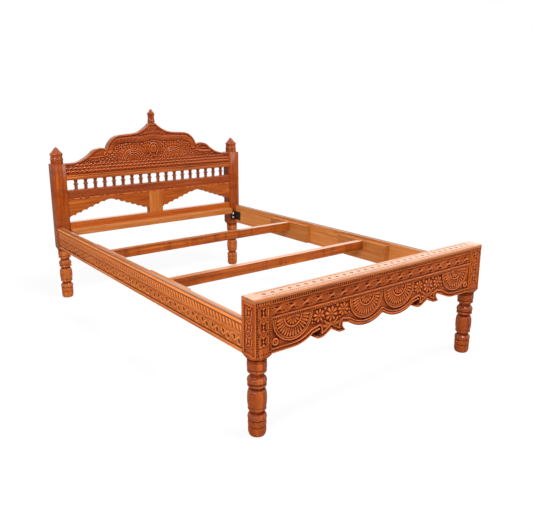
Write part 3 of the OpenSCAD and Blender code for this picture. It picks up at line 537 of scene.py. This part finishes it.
toe_angles = [math.radians(a) for a in range(10, 91, 10)]
leg_outline = (
    [(0, 0), (24, 0)] + [(24 + 9.5 * math.sin(a), 22.8 * (1 - math.cos(a))) for a in toe_angles]
    + [(33, 38), (30, 39.5)] + bead_points(41, 20, 33, 1)
    + [(30, 62.5)] + bead_points(64, 19, 32, 3) + cove_points(83, 20, 33, 8)
    + bead_points(103, 10, 32.5, 1.5) + bead_points(113, 65, 31, 5, 16)
    + cove_points(178, 15, 32, 6) + bead_points(193, 10, 33, 2)
    + [(30, 204.5)] + bead_points(206, 19, 32, 4) + cove_points(225, 23, 33, 8)
    + bead_points(248, 10, 33, 2.5) + [(31, 259.5)]
    + bead_points(261, 26, 35, 1) + [(31, 288.5), (35.5, 290), (35.5, 300)]
    + [(35.5 + 18.5 * k / 8, 300 + 13 * k / 8) for k in range(1, 9)] + [(0, 313.2)]
)


def post_carving(width, first, last, front):
    """A foot post's face, from its outer corner in: a bead line, three crossed flowers, a bead line."""
    c = Carving(0, width, leg_top, foot_post_top, 0.7)
    c.h = c.h + foot_skin
    c.ease = rounded(c.u, 2.5)
    between_beads = (c.u > first + 5) & (c.u < last - 5)
    panel = between_beads & (c.v > 341) & (c.v < 498)
    across, up = c.u - (first + last) / 2, fold(c.v, 52.4, 341)[0]
    half_w, half_h = (last - first) / 2 - 6, 26.2
    c.put(1.7, panel)
    for turn, sign in ((0, -1), (180, 1)):
        for slant in (-1, 1):
            a, b = turned(across, up, (0, 0), slant * math.degrees(math.atan2(half_h, half_w)) + turn)
            c.add(leaf(a, b, math.hypot(half_w, half_h), half=4.2, height=4.2, vein=5.5), panel)
        a, b = turned(across * sign, up, (half_w + 1, 3 - half_h), 90)
        c.add(leaf(a, b, 2 * half_h - 6, half=8.0, height=3.6, vein=5.5), panel)
        a, b = turned(across, up * sign, (0, 10), 90)
        c.add(leaf(a, b, 17, half=5.0, height=3.8, vein=5.0), panel)
    c.put(2.6, between_beads & (c.v > 322.5) & (c.v <= 341))
    slit_half = 4.1 if front else 5.2
    slit = np.hypot((np.abs(across) - 0.5 - slit_half - 0.030 * up ** 2) / slit_half, up / 17.5)
    slit = np.minimum(slit, np.hypot(across, np.abs(up) - 19.5) / 2.2)
    slit = np.minimum(slit, np.hypot(np.abs(across) - 17.0, np.abs(up) - 22.0) / 2.4)
    c.put(0.0, panel & (slit < 1))
    c.add(swell(np.hypot(across, up / 1.6), 2.6, 4.8), panel)
    for column in (first, last):
        bead = np.hypot(c.u - column, fold(c.v, 8.4, 314)[0])
        in_column = (np.abs(c.u - column) < 4.4) & (c.v > 318) & (c.v < 498)
        c.put(np.maximum(swell(bead, 3.7, 3.8), 0.2), in_column)
    if front:
        for low, high in ((498.5, 510.0), (314.5, 321.5)):
            bead = swell(fold(c.u, 9.9)[0], 4.0, 4.0) * swell(2 * c.v - low - high, high - low, 1)
            c.put(np.maximum(bead, 0.2), (c.v > low) & (c.v < high) & (c.u > 8))
    return c


post_tones = (0.41, 0.088, 0.010), (0.265, 0.047, 0.004), (0.12, 0.017, 0.002)
leg_tones = (0.54, 0.155, 0.035), (0.40, 0.100, 0.018), (0.22, 0.045, 0.008)
carved_tones = (0.46, 0.105, 0.014), (0.31, 0.060, 0.007), (0.16, 0.024, 0.003)
post_polish = {"coat": 0.65, "gloss": 0.04, "curl": 0.6, "coat_ior": 1.4}
post_up = teak("post_teak_up", post_tones, "Z", **post_polish)
leg_up = teak("leg_teak_up", leg_tones, "Z", **post_polish)
carved_up = teak("carved_teak_up", carved_tones, "Z")
front_carving = post_carving(width=75, first=13.0, last=69.0, front=True)
flank_carving = post_carving(width=71, first=7.0, last=53.0, front=False)
for side, word, out in bed_sides:
    x = side * post_x
    head = new_work()
    add_turning(head, leg_outline, (x, post_y, 0), square=post_half)
    low = x - post_half, post_y - post_half, leg_top
    high = x + post_half, post_y + post_half, head_post_top
    add_box(head, low, high, 1.2)
    for post_face in head.faces:
        post_face.material_index = 1 if post_face.calc_center_median().z * 1000 < pale_top else 0
    name = "head_post_" + word
    add_piece(name + "_turned", head, [post_up, leg_up], [name], angle=35)

    foot = new_work()
    add_turning(foot, leg_outline, (x, -post_y, 0), square=post_half)
    x_low, x_high = sorted((side * clear_half, side * foot_flank))
    add_box(foot, (x_low, foot_front, leg_top), (x_high, -post_y + post_half, foot_post_top), 0.6)
    front = front_carving if side < 0 else mirrored(front_carving)
    flank = flank_carving if side > 0 else mirrored(flank_carving)
    for carving, face_x, facing in ((front, foot_flank + foot_skin, "-Y"), (flank, foot_flank, out)):
        place = face_place(side * face_x, foot_front, 0, facing)
        mesh = carved_mesh(carving, place, step=1.25, back=1.0)
        mesh.polygons.foreach_set("material_index", [1] * len(mesh.polygons))
        foot.from_mesh(mesh)
    name = "foot_post_" + word
    add_piece(name + "_carved", foot, [post_up, carved_up], [name], angle=50)

# Foot rail
# The footboard's upper rail is one teak board, carved with a band of crossed leaves between two
# rounded fillets, and a row of upright beads over it. It is tenoned and pegged into the posts.
foot_rail_low, foot_rail_front, band_mid, band_half = 443, -997, 471, 23.5
crossing_count, bead_pitch = 18, 9.955
carved_across = teak("carved_teak_across", carved_tones, "X", highlight_strength=0.68)
c = Carving(-clear_half, clear_half, foot_rail_low, foot_post_top)
cross_u, cross_v = fold(c.u, 2 * clear_half / crossing_count, -clear_half)[0], c.v - band_mid
hatch = 0.5 + 0.5 * np.cos(2 * np.pi * (np.abs(cross_u) * 0.75 - np.abs(cross_v)) / 5.6)
lens = swell(cross_v, 22 * np.clip(1.15 - ((np.abs(cross_u) - 31.5) / 33) ** 2, 0.02, 1), 1.0)
c.h = np.where(np.abs(cross_v) < band_half, 1.2 + 2.4 * lens - 0.9 * hatch, 1.0)
for sign, half_long, half_high in ((-1, 17.0, 4.6), (1, 14.0, 3.0)):
    a, b = turned(cross_u, cross_v, (sign * -3.0, sign * 6.5), -20)
    c.put(0.0, np.hypot(a / half_long, b / (half_high * np.clip(1 + sign * a / 40, 0.4, 1.6))) < 1)
    c.put(0.0, np.hypot((cross_u + sign * 24.0) / 5.0, (cross_v - sign * 8.0) / 1.8) < 1)
a, b = turned(cross_u, cross_v, (0, 0), 21)
stroke = leaf(a + 19.0, b, 38.0, half=3.8, height=5.5)
c.add(stroke, stroke > 0.25)
c.put(0.2, (c.v < 448.5) | (c.v > 494))
c.add(swell(c.v - 446.2, 2.6, 5.0))
c.add(swell(c.v - 495.8, 2.0, 5.0))
c.add(4.0, c.v < 443.6)
bead = swell(fold(c.u, bead_pitch, -clear_half)[0], 3.2, 4.2) * swell(c.v - 503.6, 5.2, 1)
c.put(np.where(bead > 0.1, bead, -2.0), c.v > 498.3)
foot_rail = carved_mesh(c, face_place(0, foot_rail_front, 0, "-Y"), step=1.7, back=37)
add_board("foot_rail_carved", foot_rail, carved_across, "foot_rail")

# Foot cap
# A teak board over the whole footboard, rounded along both long edges and polished, with a painted sheen
# that makes its top paler. A row of small flowers is engraved along its middle, and a dotted line near each
# edge.
cap_half, cap_front, cap_back, cap_top = 642.5, -1005, -930, 525
flower_pitch, first_flower, dotted_line = 38.4, -574, 22.5
cap_tones = (0.46, 0.165, 0.036), (0.36, 0.105, 0.018), (0.24, 0.055, 0.009)
# The cap's top gets a stronger painted sheen than the other boards.
cap_teak = teak("cap_teak", cap_tones, "X", coat=1.0, gloss=0.2, top_sheen=0.40, coat_ior=1.45)
c = Carving(-cap_half, cap_half, cap_front, cap_back)
c.ease = rounded(np.minimum(c.v - cap_front, cap_back - c.v), 5)
flower_u = fold(c.u, flower_pitch, first_flower - flower_pitch / 2)[0]
flower_v = c.v + post_y
engraved = petals(flower_u, flower_v, (0, 0), 0.5, 7.2, count=6, height=3.2)
engraved = np.maximum(engraved, swell(np.hypot(np.abs(flower_u) - flower_pitch / 2, flower_v), 2.4, 1.4))
for line in (-dotted_line, dotted_line):
    engraved = np.maximum(engraved, swell(np.hypot(fold(c.u, 9.6)[0], flower_v - line), 3.0, 2.8))
    engraved = np.maximum(engraved, swell(flower_v - line * 1.2, 1.0, 0.7))
c.put(-engraved, np.abs(c.u) < 600)
foot_cap = carved_mesh(c, face_place(0, 0, cap_top, "+Z"), step=1.9, back=14)
add_board("foot_cap_engraved", foot_cap, cap_teak, "foot_cap")

# Foot apron
# One wide teak board under the foot rail. Its lower edge is sawn into lobes and two hooked drops;
# four half lotus flowers hang from its bead row, with daisies and leaves over each drop. It is
# tenoned and pegged into the posts.
lobe_half, lobe_low, lobe_high, drop_u, board_margin = 94.5, 312, 342, 281, 12.5
apron_front, lotus_v = -996, 432


def arc_points(a, b, c, n=24):
    """Points of the arc from a to c that passes through b."""
    d = 2 * (a[0] * (b[1] - c[1]) + b[0] * (c[1] - a[1]) + c[0] * (a[1] - b[1]))
    sa, sb, sc = (p[0] ** 2 + p[1] ** 2 for p in (a, b, c))
    x = (sa * (b[1] - c[1]) + sb * (c[1] - a[1]) + sc * (a[1] - b[1])) / d
    y = (sa * (c[0] - b[0]) + sb * (a[0] - c[0]) + sc * (b[0] - a[0])) / d
    first, mid, last = (math.atan2(p[1] - y, p[0] - x) for p in (a, b, c))
    mid, last = (mid - first) % (2 * math.pi), (last - first) % (2 * math.pi)
    sweep = last if mid < last else last - 2 * math.pi
    r, angles = math.hypot(a[0] - x, a[1] - y), [first + sweep * i / n for i in range(n + 1)]
    return [(x + r * math.cos(angle), y + r * math.sin(angle)) for angle in angles]


def both_halves(points, between=()):
    """An outline's right half after its mirror image, with any points on the middle line between them."""
    return [(-u, v) for u, v in reversed(points)] + [*between] + points


def edge_distance(c, points):
    """Distance of each place of a carving to a line of points, and how far along the line that is."""
    best, along, run = np.full(c.u.shape, 1e9), np.zeros(c.u.shape), 0.0
    for (ax, ay), (bx, by) in zip(points, points[1:]):
        length = math.hypot(bx - ax, by - ay)
        if length < 1e-6:
            continue
        t = np.clip(((c.u - ax) * (bx - ax) + (c.v - ay) * (by - ay)) / length ** 2, 0, 1)
        d = np.hypot(c.u - ax - t * (bx - ax), c.v - ay - t * (by - ay))
        closer = d < best
        best, along = np.where(closer, d, best), np.where(closer, run + t * length, along)
        run += length
    return best, along


def half_lotus(c, mid_u, height=5.0, spokes=17, pits=36, pit_ring=85.5):
    """Half a lotus that hangs under the bead row: a rim with pits, long petals, a ring and a rosette."""
    radius = np.hypot(c.u - mid_u, c.v - lotus_v)
    angle = np.degrees(np.arctan2(c.v - lotus_v, c.u - mid_u)) % 360 - 180
    shape = np.where(radius < 91, 0.70 * height, 0.0)
    pit = np.hypot((angle * pits / 180 % 1 - 0.5) * (math.pi * pit_ring / pits), radius - pit_ring)
    shape = np.where(pit < 2.5, 0.0, shape)
    shape = np.where(radius < 79.5, 0.24 * height, shape)
    for inner, outer, count, rise in ((43.0, 78.0, spokes, 0.80), (9.0, 33.0, 7, 0.72)):
        fan = petals(c.u, c.v, (mid_u, lotus_v), inner, outer, count, rise * height,
                     start=180, sweep=180, full=1.5)
        shape = np.maximum(shape, fan)
    between = np.abs((angle * spokes / 180 % 1 + 0.5) % 1 - 0.5) * math.pi * radius / spokes
    shape = np.where(np.hypot(between, (radius - 73.5) / 1.3) < 2.8, 0.0, shape)
    for ring, half, rise in ((89.6, 2.2, 1.0), (80.6, 2.0, 0.94), (39.5, 3.8, 0.86), (0.0, 9.0, 0.8)):
        shape = np.maximum(shape, swell(radius - ring, half, rise * height))
    c.put(shape - swell(radius, 4.0, 0.5 * height), (c.v - lotus_v < 1.5) & (radius < 92))


def lobe(u):
    """Round lobe of the apron's lower edge."""
    return arc_points((u - lobe_half, lobe_high), (u, lobe_low), (u + lobe_half, lobe_high))


drop_half = ([(61, 349), (59, 341), (61, 333), (67, 325), (74, 317)]
             + arc_points((71, 316), (53, 313.5), (22, 324), 14) + [(8, 331)])
drop = [(drop_u + u, v) for u, v in both_halves(drop_half[::-1], [(0, 338)])]
last_lobe = drop_u + 186.5
right_edge = lobe(lobe_half)[1:] + drop + [p for p in lobe(last_lobe) if p[0] < last_lobe + 0.1]
right_edge += [(clear_half, lobe_low)]
apron_edge = both_halves(right_edge, [(0, lobe_high)])

c = Carving(-clear_half, clear_half, lobe_low, foot_rail_low)
gap, run = edge_distance(c, apron_edge)
for side in (-1, 1):
    from_drop = c.u - side * drop_u
    for degrees in range(15, 166, 25):
        a, b = turned(from_drop, c.v, (0, 346), degrees)
        c.add(leaf(a, b, 50, half=6.5, height=3.4, vein=4.4))
    for stud in (-94, -82, -44, -32, 32, 44, 82, 94):
        for height in (371 + 0.12 * abs(stud), 386 + 0.1 * abs(stud)):
            c.add(swell(np.hypot(from_drop - stud, c.v - height), 4.6, 3.4))
    for daisy_u, daisy_v, daisy_r in ((-62, 403, 27), (0, 397, 31), (62, 403, 27)):
        radius = np.hypot(from_drop - daisy_u, c.v - daisy_v)
        c.put(0.0, radius < daisy_r + 2.5)
        c.add(petals(from_drop, c.v, (daisy_u, daisy_v), 5, daisy_r, count=8, height=3.5,
                     start=10, gap=0.16, full=1.1))
        c.add(swell(radius, 6.8, 4.4))
        c.h = c.h - swell(radius, 2.4, 2.4)
    for bud_u in (-31, 31):
        c.add(swell(np.hypot(from_drop - bud_u, (c.v - 425) / 0.9), 6.5, 3.6))
    curl = np.hypot(c.u - side * 547, c.v - 352)
    c.put(0.0, curl < 20)
    c.add(swell(curl - 11.0, 3.4, 4.8))
    c.add(swell(curl, 5.0, 4.8))
for lotus_u in (-last_lobe, -lobe_half, lobe_half, last_lobe):
    half_lotus(c, lotus_u)
outer = np.abs(c.u) > 2 * lobe_half
beads = swell(np.hypot((gap - 9.4) / 1.1, fold(run, 8.0)[0]), 2.5, 4.4)
outer_band = np.maximum(np.maximum(swell(gap - 15.2, 2.4, 5.2), swell(gap - 19.4, 1.3, 3.4)), beads)
inner_band = np.maximum(swell(gap - 6.8, 5.6, 5.0), swell(gap - 16.6, 3.2, 4.8))
c.put(np.where(outer, outer_band, inner_band) - 0.8, gap < 20.5)
c.put(-2.6, outer & (gap > 5.6) & (gap < 13.0) & (beads < 0.3))
c.add(4.3 - 0.1 * (gap - 2.5) ** 2, outer & (gap < 5.6))
c.add(4.0, ~outer & (gap < 1.3))
for side in (-1, 1):
    slant = c.u - side * drop_u + 58 - 0.55 * (c.v - 337)
    c.put(-3.6, np.hypot(slant / 8.5, (c.v - 337) / 15.0) < 1)
c.put(0.0, c.v > 433.0)
c.add(swell(c.v - 433.0, 1.7, 4.6), c.v > 431.0)
bead = swell(fold(c.u, bead_pitch, -clear_half)[0], 3.2, 4.6) * swell(c.v - 439.2, 4.2, 1)
c.add(bead, c.v > 434.5)
board_edge = clear_half + board_margin
apron_outline = [(-board_edge, 455), (-board_edge, lobe_low)] + apron_edge
apron_outline += [(board_edge, lobe_low), (board_edge, 455)]
place = face_place(0, apron_front, 0, "-Y")
# The apron's sawn edges get painted shade.
apron = carved_mesh(c, place, step=1.6, back=36, outline=apron_outline, wall_shade=0.85)
add_board("foot_apron_carved", apron, carved_across, "foot_apron")

# Side rails
# Two long teak boards between the posts, paler and plain inside. The outer face has a rounded
# lip, a row of slanted thumbnail cuts, two beads, and a band of leaves, rings and pits over a
# plain strip. Steel brackets hold each end to its post.
rail_half, rail_low, rail_high, rail_x = 930, 312, 434, 637
cut_count, leaf_count = 87, 26


def rail_face():
    """The outer face of a side rail over its whole length."""
    c = Carving(-rail_half, rail_half, rail_low, rail_high)
    c.h = np.where(c.v > 418, 5.5 - rounded(rail_high - c.v, 6), np.where(c.v < 327.5, 4.6, 3.4))
    c.h -= swell(c.v - 417.6, 1.5, 3.0)
    c.h -= swell(c.v - 328.0, 1.3, 3.0)
    cut_v = c.v - 401.5
    cut = (c.u + 0.35 * cut_v) * cut_count / (2 * rail_half) % 1
    thumbnail = 5.4 * cut ** 1.4 * np.clip((0.88 - cut) / 0.06, 0, 1) * swell(cut_v, 14.6, 1)
    c.put(4.4 - thumbnail, np.abs(cut_v) < 14.8)
    for bead in (384.0, 379.6):
        c.add(swell(c.v - bead, 1.7, 5.2))
    unit_u, up = fold(c.u, 2 * rail_half / leaf_count, -rail_half)[0], c.v - 353.5
    band = 2.6 + 0.6 * np.cos(2 * np.pi * (unit_u + 0.3 * up) / 5.6)
    for sign in (-1, 1):
        ring_mid = sign * 14.5, -sign * 5.0
        ring = np.hypot(unit_u - ring_mid[0], (up - ring_mid[1]) / 1.15)
        a, b = turned(unit_u, up, (sign * 35.8, -23), 90 + sign * 6)
        band = np.maximum(band, leaf(a, b, 46, half=6.5, height=4.6, vein=5.6))
        band = np.where(ring < 12.5, 1.6 + petals(unit_u, up, ring_mid, 5, 12, count=9, height=1.6), band)
        band = np.maximum(band, swell(ring - 11.6, 2.6, 4.0))
    band = np.maximum(band, swell(np.hypot(unit_u, up), 3.6, 5.0))
    for sign in (-1, 1):
        pit = np.hypot((unit_u - sign * 14.5 + 0.3 * up) / 6.0, (up + sign * 5.0) / 8.6)
        band = np.where(pit < 1, -4.2, band)
        band = np.where(np.hypot((unit_u + sign * 9.0) / 2.6, (up + sign * 17.0) / 2.0) < 1, -1.0, band)
    c.put(band, (c.v > 329.5) & (c.v < 377.5))
    return c


rail_tones = (0.54, 0.168, 0.038), (0.405, 0.110, 0.022), (0.25, 0.052, 0.010)
pale_tones = (0.62, 0.26, 0.078), (0.50, 0.175, 0.043), (0.36, 0.105, 0.022)
rail_teak = teak("rail_teak_along", rail_tones, "Y", coat=0.15, gloss=0.05)
inner_along = teak("inner_teak_along", pale_tones, "Y", coat=0.3)
face = rail_face()
for side, word, out in bed_sides:
    rail = new_work()
    place = face_place(side * rail_x, 0, 0, out)
    rail.from_mesh(carved_mesh(face, place, step=2.0, back=24.5, depth=1.9))
    for board_face in rail.faces:
        board_face.material_index = 1 if board_face.normal.x * side < -0.9 else 0
    name = "side_rail_" + word
    add_piece(name + "_carved", rail, [rail_teak, inner_along], [name])

# Crest board
# The head of the bed: one broad red-brown teak board sawn to a stepped outline under a grooved
# cornice. Two lotus arches stand on rows of slanting dashes, with an oval boss between them, a
# lattice under the peak, and an eye and a curl among the scales of each shoulder.
crest_low, crest_peak, crest_front, shoulder_v = 737, 1015, 940, 804
arch_u, arch_v, eye_u = 138, 790, 376
# Radius, half width and height of each ring of the lotus arches.
arch_rings = ((24, 3.4, 4.2), (34, 3.4, 4.2), (44, 3.4, 4.4),
              (55, 4.4, 4.6), (66, 4.4, 4.6), (77, 4.4, 4.6))
red_tones = (0.35, 0.076, 0.011), (0.230, 0.040, 0.005), (0.14, 0.021, 0.0025)
red_across = teak("red_teak_across", red_tones, "X", top_sheen=0.08)
crest_edge = both_halves(
    [(24, crest_peak)] + arc_points((25, 1012), (54, 989), (110, 963.5), 18) + [(154.5, 957)]
    + arc_points((227, 953), (277, 927), (303, 890), 20) + [(309, 875)]
    + arc_points((313, 877), (351, 882), (400, 864), 18)
    + arc_points((404, 860), (452, 826), (541.5, shoulder_v), 18) + [(clear_half, shoulder_v)]
)
c = Carving(-clear_half, clear_half, crest_low, crest_peak)
gap = edge_distance(c, crest_edge)[0]
scale_v, scale_n = fold(c.v + 5.0 * np.sin(c.u / 19.0), 13.0, 800)
scale_u = fold(c.u + 13.0 * (scale_n % 2), 26.0)[0]
c.h = 0.4 + 3.2 * np.sqrt(np.clip(1 - (scale_u / 12.2) ** 2 - (scale_v / 6.2) ** 2, 0, 1))
c.h -= swell(np.hypot(scale_u / 3.0, scale_v), 1.6, 3.4)
for side, eye_rim, eye_floor in ((-1, 3.0, 0.8), (1, 4.8, 0.0)):
    mid = side * arch_u, arch_v
    radius, over = np.hypot(c.u - mid[0], c.v - mid[1]), c.v > 801
    fan = petals(c.u, c.v, mid, 80, 104, count=17, height=3.2, sweep=180, gap=0.12)
    c.put(np.maximum(fan, 1.8), over & (radius > 79) & (radius < 104))
    disc = 2.6 + petals(c.u, c.v, mid, 16, 45, count=13, height=1.4, sweep=180)
    disc = np.maximum(np.where(radius > 47, 1.4, disc), swell(radius, 13, 4.2))
    for ring, half, rise in arch_rings:
        disc = np.maximum(disc, swell(radius - ring, half, rise))
    c.put(disc, over & (radius < 80.5))
    reed = 1.2 + swell(fold(c.u, 7.5)[0], 3.4, 2.8)
    c.put(reed, (np.abs(c.u - side * 45) < 15) & (c.v > 838) & (c.v < 892))
    eye = np.hypot((c.u - side * eye_u) / 54, (c.v - 849 + 0.05 * (side * c.u - eye_u)) / 14)
    c.put(np.maximum(swell(eye - 1.45, 0.42, eye_rim), 1.4), eye < 1.9)
    c.put(eye_floor, eye < 1.0)
    c.add(leaf(c.u - side * eye_u + 36, c.v - 848, 72, half=4.2, height=2.2), eye < 0.8)
    curl = np.hypot(c.u - side * 316, c.v - 846)
    coil = np.maximum(swell(curl - 10.5, 3.4, 4.6), swell(curl, 4.5, 4.4))
    c.put(np.maximum(coil, 0.6), curl < 15)
cornice_half = [(38, 931), (64, 925), (205, 925), (242, 919), (267, 905), (283, 884), (289, 862)]
cornice = both_halves(cornice_half, [(0, 938)])
away = edge_distance(c, cornice)[0]
c.put(0.2, away < 22)
c.add(swell(away, 19, 4.2), away < 19)
c.put(c.h - swell(fold(away, 6.0)[0], 1.2, 0.8), (away < 17) & (np.abs(c.u) < 262))
reeded = (np.abs(np.abs(c.u) - 173) < 55) & (np.abs(c.v - 921) < 9)
c.put(c.h - swell(fold(c.u, 9.4)[0], 1.9, 2.0), reeded)
lattice = np.minimum(np.abs(fold(c.u + c.v, 13.0)[0]), np.abs(fold(c.u - c.v, 13.0)[0]))
c.put(1.0 + swell(lattice, 2.8, 2.4), (c.v > 952) & (np.abs(c.u) < 104))
boss = np.hypot(c.u / 25.0, (c.v - 861) / 28.0)
c.put(1.0 + swell(boss - 1.28, 0.16, 3.6), boss < 1.5)
c.put(5.0 * np.sqrt(np.clip(1 - boss ** 4, 0, 1)), boss < 1.0)
low_fan = petals(c.u, c.v, (0, 801), 8, 30, count=9, height=4.2, sweep=180, gap=0.15)
c.put(np.maximum(low_fan, 1.2), (np.hypot(c.u, c.v - 801) < 33) & (c.v > 801))
row_v, row_n = fold(c.v, 18.3, 745)
dash_u = fold(c.u + 13.5 * (row_n % 2), 27.0)[0]
dash_half = 5.4 * np.sqrt(np.clip(1 - (dash_u / 12.6) ** 2, 1e-4, 1))
rows = 2.4 + swell(row_v - 0.30 * dash_u, dash_half, 2.4)
rows = np.where(np.hypot((dash_u + 1.0) / 9.0, (row_v + 5.4 - 0.2 * dash_u) / 3.4) < 1, 0.0, rows)
c.put(rows, (c.v > 745) & (c.v < 800))
c.add(swell(c.v - 800.0, 2.0, 4.4))
c.put(0.2, c.v < 744)
c.put(np.maximum(swell(np.maximum(gap - 5, 0), 6.5, 5.0), 0.6), gap < 13.0)
c.ease = np.clip(2.0 - gap, 0, 2) * 0.5
crest_outline = [(-board_edge, 730), (-board_edge, shoulder_v)] + crest_edge
crest_outline += [(board_edge, shoulder_v), (board_edge, 730)]
place = face_place(0, crest_front, 0, "-Y")
crest = carved_mesh(c, place, step=1.85, back=33, outline=crest_outline, depth=2.3)
add_board("crest_board_carved", crest, red_across, "crest_board")

# Gallery
# Eighteen turned spindles stand between two rails. The upper rail is moulded and plain; the lower
# one is carved with rows of small leaves and pits over a broken ridge. The spindles have round
# tenons in both rails.
spindle_count, gallery_low, gallery_z, gallery_h, gallery_front = 18, 592, 648, 59, 939
neck_r, widest_r, small_leaf_count = 8.5, 14.0, 100
red_up = teak("red_teak_up", red_tones, "Z", coat=0.8)
c = Carving(-clear_half, clear_half, gallery_low, gallery_z)
row_v, row_n = fold(c.v, 8.4, 603)
leaf_u = fold(c.u + 5.7 * (row_n % 2), 2 * clear_half / small_leaf_count, -clear_half)[0]
a, b = turned(leaf_u, row_v, (0, 0), 24)
c.h = 2.4 + leaf(a + 4.6, b, 9.2, half=2.6, height=1.5)
c.put(0.0, np.hypot((leaf_u - 4.6) / 3.0, (row_v + 2.0) / 2.4) < 1)
c.put(0.5, (c.v < 602) | (c.v > 644.5))
c.add(swell(c.v - 600.8, 1.6, 3.8))
c.add(swell(c.v - 646.0, 1.8, 4.0))
broken = 0.75 + 0.25 * np.sign(np.sin(c.u / 7.0) + np.sin(c.u / 17.0))
c.add(swell(c.v - 595.2, 3.4, 6.0) * broken)
gallery_rail = carved_mesh(c, face_place(0, gallery_front, 0, "-Y"), step=1.9, back=34, depth=3.0)
add_board("gallery_bottom_rail_carved", gallery_rail, red_across, "gallery_bottom_rail")
finish_nodes(board_across, "gallery_top_rail")
spindle_outline = (
    [(0, 0), (12, 0), (12, 3.2), (10.6, 3.8), (8.5, 8.6)] + bead_points(10.2, 11.4, neck_r, 2.4, 8)
    + cove_points(21.6, 3.4, neck_r, 0.6, 4) + bead_points(25.2, 13.0, neck_r + 1, widest_r - neck_r - 1, 10)
    + cove_points(38.2, 3.0, neck_r, 0.4, 4) + bead_points(41.2, 3.6, neck_r, 0.9, 5)
    + [(neck_r, 45.4), (11.3, 50.6), (11.6, 52.2), (12.4, 53.2), (12.4, gallery_h), (0, gallery_h)]
)
for n in range(1, spindle_count + 1):
    name = "spindle_%02d" % n
    low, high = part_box(name)
    x, y = (500 * (low[i] + high[i]) for i in (0, 1))
    spindle = new_work()
    add_turning(spindle, spindle_outline, (x, y, gallery_z), steps=28, groove_reach=4.5)
    add_piece(name + "_turned", spindle, [red_up], [name], angle=40)

# Finials
# Turned teak: a waisted drum under a pagoda roof on each head post, and a slim bud on the peak
# of the crest. Each is held by a dowel.
finish_nodes(post_up, "head_finial_left", "head_finial_right", "crest_finial")

# Bed base
# Notched blocks and ledgers of paler teak, screwed to the inside of the frame, and two darker,
# streaked bearers that drop into the notches and lie loose. All are planed and oiled.
block_tones = (0.47, 0.18, 0.045), (0.37, 0.122, 0.027), (0.24, 0.065, 0.012)
bearer_teak = teak("bearer_teak", board_tones, "X", curl=0.75)
ledger_teak = teak("ledger_teak", block_tones, "X", coat=0.3)
block_teak = teak("block_teak", block_tones, "Y", coat=0.3)
blocks = ["hanger_block_%s_%s" % (end, side) for end in ("front", "rear") for side in ("left", "right")]
finish_nodes(ledger_teak, "head_ledger", "foot_ledger")
finish_nodes(bearer_teak, "bearer_front", "bearer_rear")
finish_nodes(block_teak, *blocks)

# Brackets and fixings
# Folded steel angles with a dark finish hold the side rails to the posts, with two bright domed
# bolts and two countersunk screws each. Dark wooden pegs lock the tenons.


def metal(name, colour, rough, wear_and_highlight):
    """Steel with a brushed, slightly stained surface."""
    material = bpy.data.materials.new(name)
    steel = Shading(material)
    stain_and_shade = steel.noise(steel.add("TexCoord", {})["Object"], 90, 5, 0.5)
    steel.feed(steel.nodes["Principled BSDF"], {
        "Base Color": steel.ramp(stain_and_shade, (0.38, wear_and_highlight), (0.6, colour)),
        "Metallic": 1.0,
        "Roughness": steel.span(stain_and_shade, 0, 1, rough - 0.08, rough + 0.12),
        "Normal": steel.add("Bump", {"Strength": 0.2, "Distance": 0.0004, "Height": stain_and_shade})["Normal"],
    })
    return material


dark_steel = metal("dark_steel", (0.10, 0.075, 0.065), 0.42, (0.05, 0.035, 0.03))
bright_steel = metal("bright_steel", (0.72, 0.70, 0.67), 0.25, (0.55, 0.52, 0.48))
dark_peg = teak("dark_peg", ((0.10, 0.035, 0.015), (0.06, 0.02, 0.01), (0.03, 0.01, 0.005)), "Y")
brackets = ["%s_bracket_%s" % (end, side) for end in ("head", "foot") for side in ("left", "right")]
finish_nodes(dark_steel, "bracket_screws", *brackets)
finish_nodes(bright_steel, "bracket_bolts")
finish_nodes(block_teak, "block_screws", "ledger_screws")
finish_nodes(dark_peg, "tenon_pegs")
